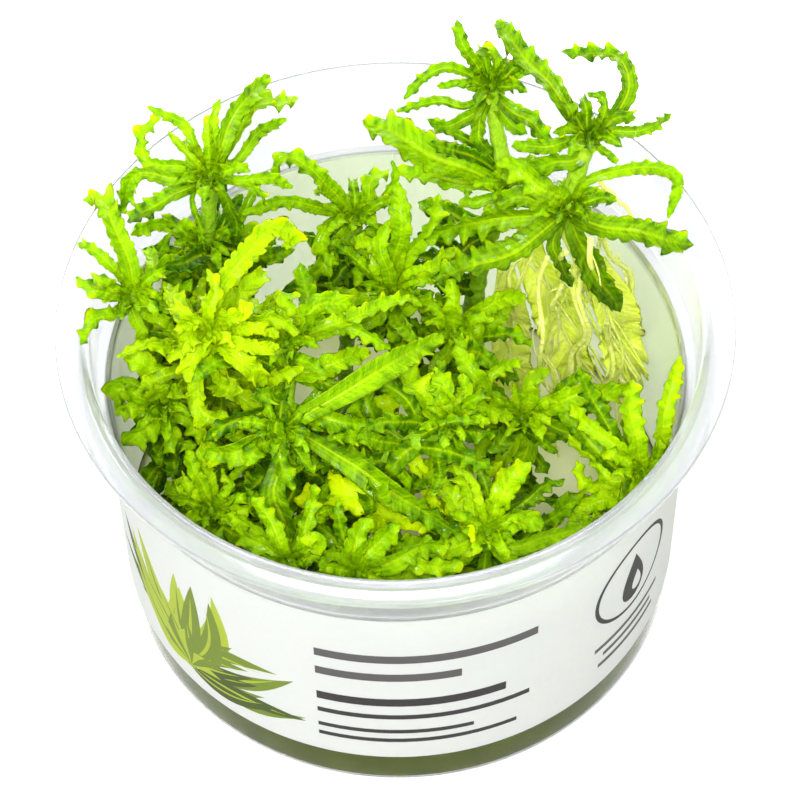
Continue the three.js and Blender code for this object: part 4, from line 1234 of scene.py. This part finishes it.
def bar(x, z, length, height):
    return [(x, z), (x + length, z), (x + length, z + height), (x, z + height)]


def drop(x, z, size):
    """A drop's outline, its point up."""
    t = np.linspace(0, 2 * math.pi, 24, endpoint=False)
    return [(x - size * 0.62 * math.sin(a) * math.sin(a / 2) ** 1.3, z + size * math.cos(a)) for a in t]


def printing():
    """The band's shapes, each with its ink, the later over the earlier."""
    rng = np.random.default_rng(PRINT_SEED)
    shapes = []
    x, z = SPRAY_FOOT
    for k in range(SPRAY_LEAVES):
        angle = math.radians(2 + (k * 61) % 175 + rng.uniform(-4, 4))
        length = rng.uniform(15, 27) * (0.8 + 0.2 * math.sin(angle))
        start = (x + rng.uniform(-2.5, 2.5), z + rng.uniform(0, 4))
        bend = rng.uniform(-0.16, 0.16)
        ink, rib_ink = (("green", "lime"), ("lime", "green"), ("deep", "lime"))[k % 3]
        shapes.append((leaf_shape(*start, length, length * 0.17, angle, bend), ink))
        shapes.append((leaf_shape(*start, length * 0.85, length * 0.03, angle, bend), rib_ink))
    for k in range(SHORT_LEAVES):
        length = rng.uniform(6, 11)
        shape = leaf_shape(x, z + 1, length, length * 0.28, math.radians(20 + k * 18))
        shapes.append((shape, ("lime", "green")[k % 2]))
    for left, height, pitch, lengths, thickness, loss, ink in BARS:
        for k, length in enumerate(lengths):
            shapes.append((bar(left, height - pitch * k, length, thickness - loss * k), ink))
    x, z = RING_CENTRE
    shapes += [(disc(x, z, RING_RADIUS), "dark"), (disc(x, z, RING_RADIUS - RING_LINE), "paper")]
    shapes += [(drop(x, z - 0.6, 6.2), "dark"), (drop(x + 0.9, z - 2.4, 2.6), "paper")]
    for k, length in enumerate(RING_BARS):
        shapes.append((bar(x - length / 2, 18.6 - 2.6 * k, length, 1.1), "grey"))
    for k in range(5):
        for left in BACK_BARS:
            shapes.append((bar(left, 30 - 3.0 * k, rng.uniform(14, 22), 0.7), "faint"))
    return shapes


def cut_sheet():
    """The flat sheet cut into triangles along the printed shapes: its points, triangles and their inks."""
    points = bar(-PAPER_END, BAND_BOTTOM, 2 * PAPER_END, BAND_TOP - BAND_BOTTOM)
    outlines = [[0, 1, 2, 3]]
    inks = ["paper"]
    for shape, ink in printing():
        outlines.append(list(range(len(points), len(points) + len(shape))))
        points += shape
        inks.append(ink)
    lines = []
    x = -PAPER_END + PRINT_STEP
    while x < PAPER_END - 0.5:
        lines.append((len(points), len(points) + 1))
        points += [(x, BAND_BOTTOM), (x, BAND_TOP)]
        x += PRINT_STEP
    result = delaunay_2d_cdt([Vector(p) for p in points], lines, outlines, 0, PRINT_JOIN, True)
    flat, _, triangles, _, _, covers = result
    colours = [INKS.index(inks[max(cover)]) if cover else 0 for cover in covers]
    return np.array([tuple(p) for p in flat]), triangles, colours


def band_mesh(materials):
    """The band as a closed thin sheet round the wall, its faces coloured by the ink that lies on them."""
    flat, triangles, inks = cut_sheet()
    angle = flat[:, 0] / PAPER_RADIUS
    sheets = []
    for out in (BAND_GAP + BAND_THICKNESS, BAND_GAP):
        r = outer_radius(flat[:, 1]) + out
        sheets.append(np.stack([r * np.sin(angle), -r * np.cos(angle), flat[:, 1]], -1))
    count = len(flat)
    faces = []
    colours = []
    edges = {}
    for triangle, ink in zip(triangles, inks):
        a, b, c = flat[list(triangle)]
        if (b[0] - a[0]) * (c[1] - a[1]) - (b[1] - a[1]) * (c[0] - a[0]) < 0:
            triangle = triangle[::-1]
        faces += [list(triangle), [i + count for i in triangle[::-1]]]
        # The inner sheet takes the back's paper with its painted green bounce light
        colours += [ink, INKS.index("back")]
        edges.update(dict.fromkeys(zip(triangle, triangle[1:] + triangle[:1])))
    for i, j in edges:
        if (j, i) not in edges:
            faces.append([j, i, i + count, j + count])
            colours.append(INKS.index("paper"))
    mesh = new_mesh("label_sheet", np.vstack(sheets), faces, *(materials[ink] for ink in INKS))
    mesh.polygons.foreach_set("material_index", colours)
    return new_object("label_sheet", mesh)


# Materials


def fill(tree, node, values):
    """Inputs of a node, by name or number: a number, a colour or what another node puts out."""
    for key, value in values.items():
        if isinstance(value, bpy.types.NodeSocket):
            tree.links.new(value, node.inputs[key])
        elif isinstance(value, tuple) and node.inputs[key].type == "RGBA":
            node.inputs[key].default_value = (*value, 1)
        else:
            node.inputs[key].default_value = value


def add_node(tree, sort, values, output=0):
    """A node with its inputs filled: its output."""
    node = tree.nodes.new(f"ShaderNode{sort}")
    fill(tree, node, values)
    return node.outputs[output]


def new_material(name):
    material = bpy.data.materials.new(name)
    material.use_nodes = True
    tree = material.node_tree
    tree.nodes.clear()
    out = tree.nodes.new("ShaderNodeOutputMaterial")
    shader = tree.nodes.new("ShaderNodeBsdfPrincipled")
    tree.links.new(shader.outputs["BSDF"], out.inputs["Surface"])
    return material, tree, shader, out


def noise(tree, scale, detail=3.0, roughness=0.55, where=None):
    if where is None:
        where = add_node(tree, "TexCoord", {}, "Object")
    values = {"Scale": scale, "Detail": detail, "Roughness": roughness, "Vector": where}
    return add_node(tree, "TexNoise", values, "Fac")


def attribute(tree, name, output="Fac"):
    node = tree.nodes.new("ShaderNodeAttribute")
    node.attribute_name = name
    return node.outputs[output]


def ramp(tree, value, *stops):
    node = tree.nodes.new("ShaderNodeValToRGB")
    while len(node.color_ramp.elements) < len(stops):
        node.color_ramp.elements.new(0.5)
    for element, (place, colour) in zip(node.color_ramp.elements, stops):
        element.position = place
        element.color = (*colour, 1)
    fill(tree, node, {"Fac": value})
    return node.outputs["Color"]


def mix(tree, factor, a, b):
    """Two colours mixed."""
    node = tree.nodes.new("ShaderNodeMix")
    node.data_type = "RGBA"
    sockets = [i for i, socket in enumerate(node.inputs) if socket.type == "RGBA"]
    fill(tree, node, {0: factor, sockets[0]: a, sockets[1]: b})
    return next(socket for socket in node.outputs if socket.type == "RGBA")


def maths(tree, operation, *values):
    node = tree.nodes.new("ShaderNodeMath")
    node.operation = operation
    fill(tree, node, dict(enumerate(values)))
    return node.outputs[0]


def bump(tree, shader, height, strength, distance):
    values = {"Strength": strength, "Distance": distance, "Height": height}
    fill(tree, shader, {"Normal": add_node(tree, "Bump", values)})


def let_through(tree, shader, out, colour, share):
    """A share of the light passes through a thin sheet."""
    thin = add_node(tree, "BsdfTranslucent", {"Color": colour})
    both = {"Fac": share, 1: shader.outputs["BSDF"], 2: thin}
    fill(tree, out, {"Surface": add_node(tree, "MixShader", both)})


def plant_material(name, stops, pale, yellow_stops, subsurface, rough, through=0.0):
    """Wet plant tissue: a colour that follows the tone, a pale rib, mottling and light passing through."""
    material, tree, shader, out = new_material(name)
    quilt = noise(tree, 1.0, 3, 0.5, attribute(tree, "grain", "Vector"))
    patches = maths(tree, "MULTIPLY_ADD", quilt, 0.7, -0.35)
    mottle = maths(tree, "MULTIPLY_ADD", noise(tree, 420, 4), 0.55, -0.275)
    tone = maths(tree, "ADD", attribute(tree, "tone"), maths(tree, "ADD", mottle, patches))
    green = ramp(tree, tone, *stops)
    colour = mix(tree, attribute(tree, "kind"), green, ramp(tree, tone, *yellow_stops))
    colour = mix(tree, maths(tree, "MULTIPLY", attribute(tree, "rib"), 0.75), colour, pale)
    wet = maths(tree, "MULTIPLY_ADD", noise(tree, 900, 3), rough * 1.3, rough * 0.35)
    fill(tree, shader, {
        "Base Color": colour,
        "Subsurface Weight": subsurface,
        "Subsurface Radius": (0.6, 1.0, 0.1),
        "Subsurface Scale": 0.0011,
        "Roughness": wet,
        "Coat Weight": 0.12,
        "Coat Roughness": 0.08,
        "Specular IOR Level": 0.3,
        "Specular Tint": (0.8, 1.0, 0.1),
        "IOR": 1.28,
    })
    bump(tree, shader, maths(tree, "MULTIPLY_ADD", quilt, 1.6, noise(tree, 1600, 3)), 0.9, 0.00032)
    if through:
        let_through(tree, shader, out, colour, through)
    return material


def clear_plastic(name, colour, clearness, bend, rough):
    material, tree, shader, _ = new_material(name)
    scuffed = maths(tree, "MULTIPLY_ADD", noise(tree, 60, 3), 0.08, rough)
    values = {"Base Color": colour, "Transmission Weight": clearness, "IOR": bend, "Roughness": scuffed}
    fill(tree, shader, values)
    bump(tree, shader, noise(tree, 45, 2), 0.15, 0.0003)
    return material


def gel_material():
    """Cloudy gel, pale on its top and a dark olive painted shade where it is seen through its side."""
    material, tree, shader, out = new_material("gel")
    cloudy = noise(tree, 120, 4)
    # The side's dark olive is painted shade
    side = ramp(tree, cloudy, (0.2, (0.042, 0.058, 0.003)), (0.8, (0.08, 0.096, 0.007)))
    top = ramp(tree, cloudy, (0.2, (0.92, 0.96, 0.5)), (0.8, (1.0, 1.0, 0.7)))
    fill(tree, shader, {
        "Base Color": mix(tree, attribute(tree, "tone"), side, top),
        "Transmission Weight": 0.12,
        "IOR": 1.2,
        "Specular IOR Level": 0.1,
        "Roughness": maths(tree, "MULTIPLY_ADD", cloudy, 0.2, 0.05),
    })
    absorbed = add_node(tree, "VolumeAbsorption", {"Color": (0.58, 0.64, 0.33), "Density": 90})
    fill(tree, out, {"Volume": absorbed})
    bump(tree, shader, noise(tree, 220, 3), 0.3, 0.0006)
    return material


def paper_material(name, colour, mottling=0.03):
    """Matt paper that lets a little light through, with faint fibres."""
    material, tree, shader, out = new_material(name)
    fibre = noise(tree, 800, 4)
    pale = tuple(min(1, c * (1 + mottling)) for c in colour)
    deep = tuple(c * (1 - mottling) for c in colour)
    tint = ramp(tree, fibre, (0.3, deep), (0.7, pale))
    fill(tree, shader, {"Base Color": tint, "Roughness": 0.55})
    let_through(tree, shader, out, tint, 0.55)
    bump(tree, shader, fibre, 0.15, 0.00005)
    return material


# The inks of the band; bare paper and its back are the least mottled, and the back's pale green is painted
# light bounced from the leaves onto white paper
PAPERS = {
  "paper": paper_material("paper", (0.76, 0.76, 0.78), 0.01),
  # White paper with painted green bounce light, for the band's inner face
  "back": paper_material("paper_back_painted_bounce", (0.88, 0.97, 0.73), 0.01),
  "faint": paper_material("ink_faint", (0.7, 0.71, 0.68)),
  "dark": paper_material("ink_dark", (0.035, 0.03, 0.03)),
  "green": paper_material("ink_green", (0.2, 0.28, 0.012)),
  "lime": paper_material("ink_lime", (0.46, 0.55, 0.03)),
  "deep": paper_material("ink_deep", (0.07, 0.11, 0.006)),
  "grey": paper_material("ink_grey", (0.12, 0.11, 0.11)),
}
HAZED = clear_plastic("hazed_plastic", (0.76, 0.775, 0.8), 0.8, 1.35, 0.08)

# Plant tissue: colours over the tone, the rib's colour, the yellow kind's colours, how deep light goes in,
# how rough it is and, for the roots, how much light passes through
MATERIALS = {
  "leaf": plant_material(
    "leaf",
    [
      (0.0, (0.008, 0.04, 0.0003)),
      (0.25, (0.03, 0.11, 0.0002)),
      (0.55, (0.175, 0.37, 0.0004)),
      (1.0, (0.45, 0.69, 0.002)),
    ],
    (0.38, 0.58, 0.004),
    [(0.0, (0.16, 0.3, 0.0005)), (0.45, (0.5, 0.74, 0.001)), (1.0, (0.72, 0.92, 0.003))],
    0.35,
    0.4,
  ),
  "stem": plant_material(
    "stalk",
    [(0.05, (0.05, 0.16, 0.0005)), (0.6, (0.2, 0.44, 0.001)), (1.0, (0.38, 0.6, 0.004))],
    (0.4, 0.6, 0.02),
    [(0.05, (0.2, 0.28, 0.01)), (0.6, (0.42, 0.5, 0.08)), (1.0, (0.6, 0.66, 0.25))],
    0.5,
    0.3,
  ),
  "root": plant_material(
    "root",
    [(0.0, (0.58, 0.84, 0.01)), (0.45, (0.84, 1.0, 0.04)), (0.85, (1.0, 1.0, 0.4))],
    (0.92, 1.0, 0.3),
    [(0.0, (0.78, 0.97, 0.04)), (0.5, (0.95, 1.0, 0.25)), (1.0, (1.0, 1.0, 0.7))],
    0.1,
    0.3,
    0.1,
  ),
  "cup": clear_plastic("clear_plastic", (1, 1, 1), 1, 1.06, 0),
  "gel": gel_material(),
}
CUP_CREASE = math.radians(35)

for piece_name, (piece, node, slot) in pieces.items():
    made = piece.build(piece_name, MATERIALS[slot])
    if slot == "cup":
        made.data.set_sharp_from_angle(angle=CUP_CREASE)
        made.data.materials.append(HAZED)
        for face in made.data.polygons:
            face.material_index = int(face.center[2] / MM > HAZE_FROM)
    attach(made, "root")
    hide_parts(node)

band = band_mesh(PAPERS)
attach(band, "root")
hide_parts("label_band")


# Floor, light and camera

FLOOR_HALF = 3000
FLOOR_DROP = 0.3
FLOOR_CORNERS = [(-1, -1), (1, -1), (1, 1), (-1, 1)]
WORLD_STRENGTH = 0.8

# Square lights: name, place, what each faces, size and power
LIGHTS = [
  ("light_left", (-0.35, -0.2, 0.55), (0, 0, 0.05), 0.35, 2.6),
  ("light_front", (-0.3, -0.7, 0.25), (0, 0, 0.04), 0.5, 0.4),
  ("light_behind", (0.14, 0.6, 0.2), (0, 0, 0.04), 0.5, 6.8),
  ("light_key", (0, -0.42, 0.62), (0, 0, 0.04), 0.2, 5.4),
]

floor_material, tree, shader, _ = new_material("floor")
tint = ramp(tree, noise(tree, 3, 2), (0.2, (0.83, 0.83, 0.83)), (0.8, (0.85, 0.85, 0.85)))
fill(tree, shader, {"Base Color": tint, "Roughness": 0.8})
corners = [(x * FLOOR_HALF, y * FLOOR_HALF, -FLOOR_DROP) for x, y in FLOOR_CORNERS]
floor = new_object("floor", new_mesh("floor", corners, [(0, 1, 2, 3)], floor_material))

world = bpy.data.worlds.new("studio")
world.use_nodes = True
fill(world.node_tree, world.node_tree.nodes["Background"], {"Color": (1, 1, 1), "Strength": WORLD_STRENGTH})
bpy.context.scene.world = world

for name, place, aim, size, power in LIGHTS:
    light = bpy.data.lights.new(name, "AREA")
    light.shape = "SQUARE"
    light.size = size
    light.energy = power
    lamp = new_object(name, light)
    lamp.location = place
    lamp.rotation_euler = (Vector(aim) - Vector(place)).to_track_quat("-Z", "Y").to_euler()

camera_data = bpy.data.cameras.new("camera")
camera_data.lens = CAMERA_LENS
camera_data.sensor_width = CAMERA_SENSOR
camera_data.clip_start = 0.01
camera = new_object("camera", camera_data)
forward = Vector((0, math.cos(CAMERA_PITCH), -math.sin(CAMERA_PITCH)))
upward = Vector((0, math.sin(CAMERA_PITCH), math.cos(CAMERA_PITCH)))
sideways = Vector((1, 0, 0))
right = sideways * math.cos(CAMERA_LEAN) + upward * math.sin(CAMERA_LEAN)
over = upward * math.cos(CAMERA_LEAN) - sideways * math.sin(CAMERA_LEAN)
turned = Matrix((right, over, -forward)).transposed()
camera.matrix_world = Matrix.Translation(Vector(CAMERA_PLACE)) @ turned.to_4x4()
bpy.context.scene.camera = camera
bpy.context.scene.view_settings.view_transform = "Standard"
